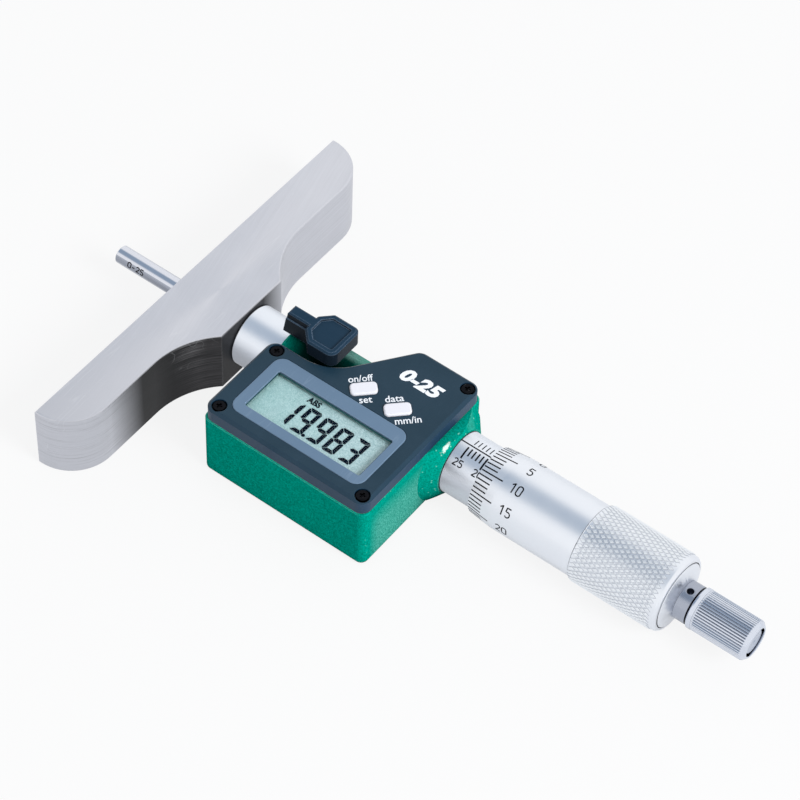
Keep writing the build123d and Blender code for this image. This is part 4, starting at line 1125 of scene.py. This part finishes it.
def make_floor():
    """The pale floor, tilted by a hair so that the housing and the grip band both rest on it."""
    near_x, near_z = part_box("housing")[0].x, HOUSING_BOTTOM * MM
    far_x, far_z = (KNURL_LEFT + KNURL_LENGTH) * MM, GRIP_BOTTOM * MM
    slope = (far_z - near_z) / (far_x - near_x)
    clearance = 0.00002
    form = bmesh.new()
    form.faces.new([form.verts.new((x, y, near_z + (x - near_x) * slope - clearance))
                    for x, y in ((-FLOOR_REACH, -FLOOR_REACH), (FLOOR_REACH, -FLOOR_REACH),
                                 (FLOOR_REACH, FLOOR_REACH), (-FLOOR_REACH, FLOOR_REACH))])
    mesh = bpy.data.meshes.new("floor")
    form.to_mesh(mesh)
    form.free()
    paper = Finish("floor_paper")
    grain = paper.use(SPECKLE, Size=0.004, Share=0.0)
    paper.shade = (192, 193, 195)
    paper.lay(grain["Grain"], (186, 187, 190), 0.02)
    paper.close(Roughness=0.9, Specular_IOR_Level=0.0)
    white = paper.add("ShaderNodeEmission", {"Color": WHITE, "Strength": 1.0}).outputs[0]
    path = paper.add("ShaderNodeLightPath").outputs
    seen = paper.scaled(path["Is Glossy Ray"], 0.45, paper.times(path["Is Camera Ray"], 0.86), clamp=True)
    mixed = paper.add("ShaderNodeMixShader", {0: seen, 1: paper.shader.outputs[0], 2: white}).outputs[0]
    paper.fill(paper.output.inputs, {0: mixed})
    mesh.materials.append(paper.material)
    floor = loose_object("floor", mesh)


def make_light():
    """Studio light: a white tent with a grey gap overhead, and a broad lamp beyond the knob."""
    world = bpy.data.worlds.new("studio")
    bpy.context.scene.world = world
    world.use_nodes = True
    world.node_tree.nodes.clear()
    tools = Tree(world.node_tree)
    way = tools.add("ShaderNodeTexCoord").outputs["Generated"]
    upright = tools.vector("NORMALIZE", tools.vector("MULTIPLY", way, (0, 1, 1)))
    middle = radians(GAP_ANGLE)
    near = tools.vector("DOT_PRODUCT", upright, (0, -sin(middle), cos(middle)))
    wide = tools.ranged(near, cos(radians(GAP_HALF_WIDTH + 9)), cos(radians(GAP_HALF_WIDTH - 7)))
    off = tools.maths("ABSOLUTE", tools.maths("SUBTRACT", tools.split(way)[0], GAP_MIDDLE))
    room = tools.blend(tools.times(wide, tools.ranged(off, 0.34, 0.2)), WHITE, GAP_GREY)
    seen = tools.add("ShaderNodeLightPath").outputs["Is Camera Ray"]
    back = tools.add("ShaderNodeBackground", {"Color": tools.blend(seen, room, WHITE), "Strength": 1.0})
    tools.add("ShaderNodeOutputWorld", {0: back.outputs[0]})
    lamp = bpy.data.lights.new("top_box", "AREA")
    lamp.shape = "DISK"
    lamp.size = LAMP_WIDTH
    lamp.energy = LAMP_POWER
    box = loose_object("top_box", lamp)
    box.location = LAMP_PLACE
    box.visible_glossy = False
    box.rotation_euler = (LAMP_TARGET - LAMP_PLACE).to_track_quat("-Z", "Y").to_euler()


def make_camera():
    """The camera where the photographer's stood."""
    data = bpy.data.cameras.new("camera")
    data.lens = CAMERA_LENS
    data.sensor_width = SENSOR
    data.clip_start = 0.05
    data.clip_end = 20.0
    camera = loose_object("camera", data)
    turn = Matrix((CAMERA_RIGHT, CAMERA_UP, CAMERA_BACK)).transposed()
    camera.matrix_world = Matrix.Translation(Vector(CAMERA_PLACE) * MM) @ turn.to_4x4()
    bpy.context.scene.camera = camera


make_camera()
make_light()
make_floor()
finish_nodes()
make_soft_pieces()
make_thimble()
make_knurl()
make_sleeve_scale()
make_sleeve_seal()
make_thimble_scale()
make_rod_etching()
make_knob()
make_display_figures()
make_window_border()
make_cover_lettering()

bpy.context.scene.view_settings.view_transform = "Standard"
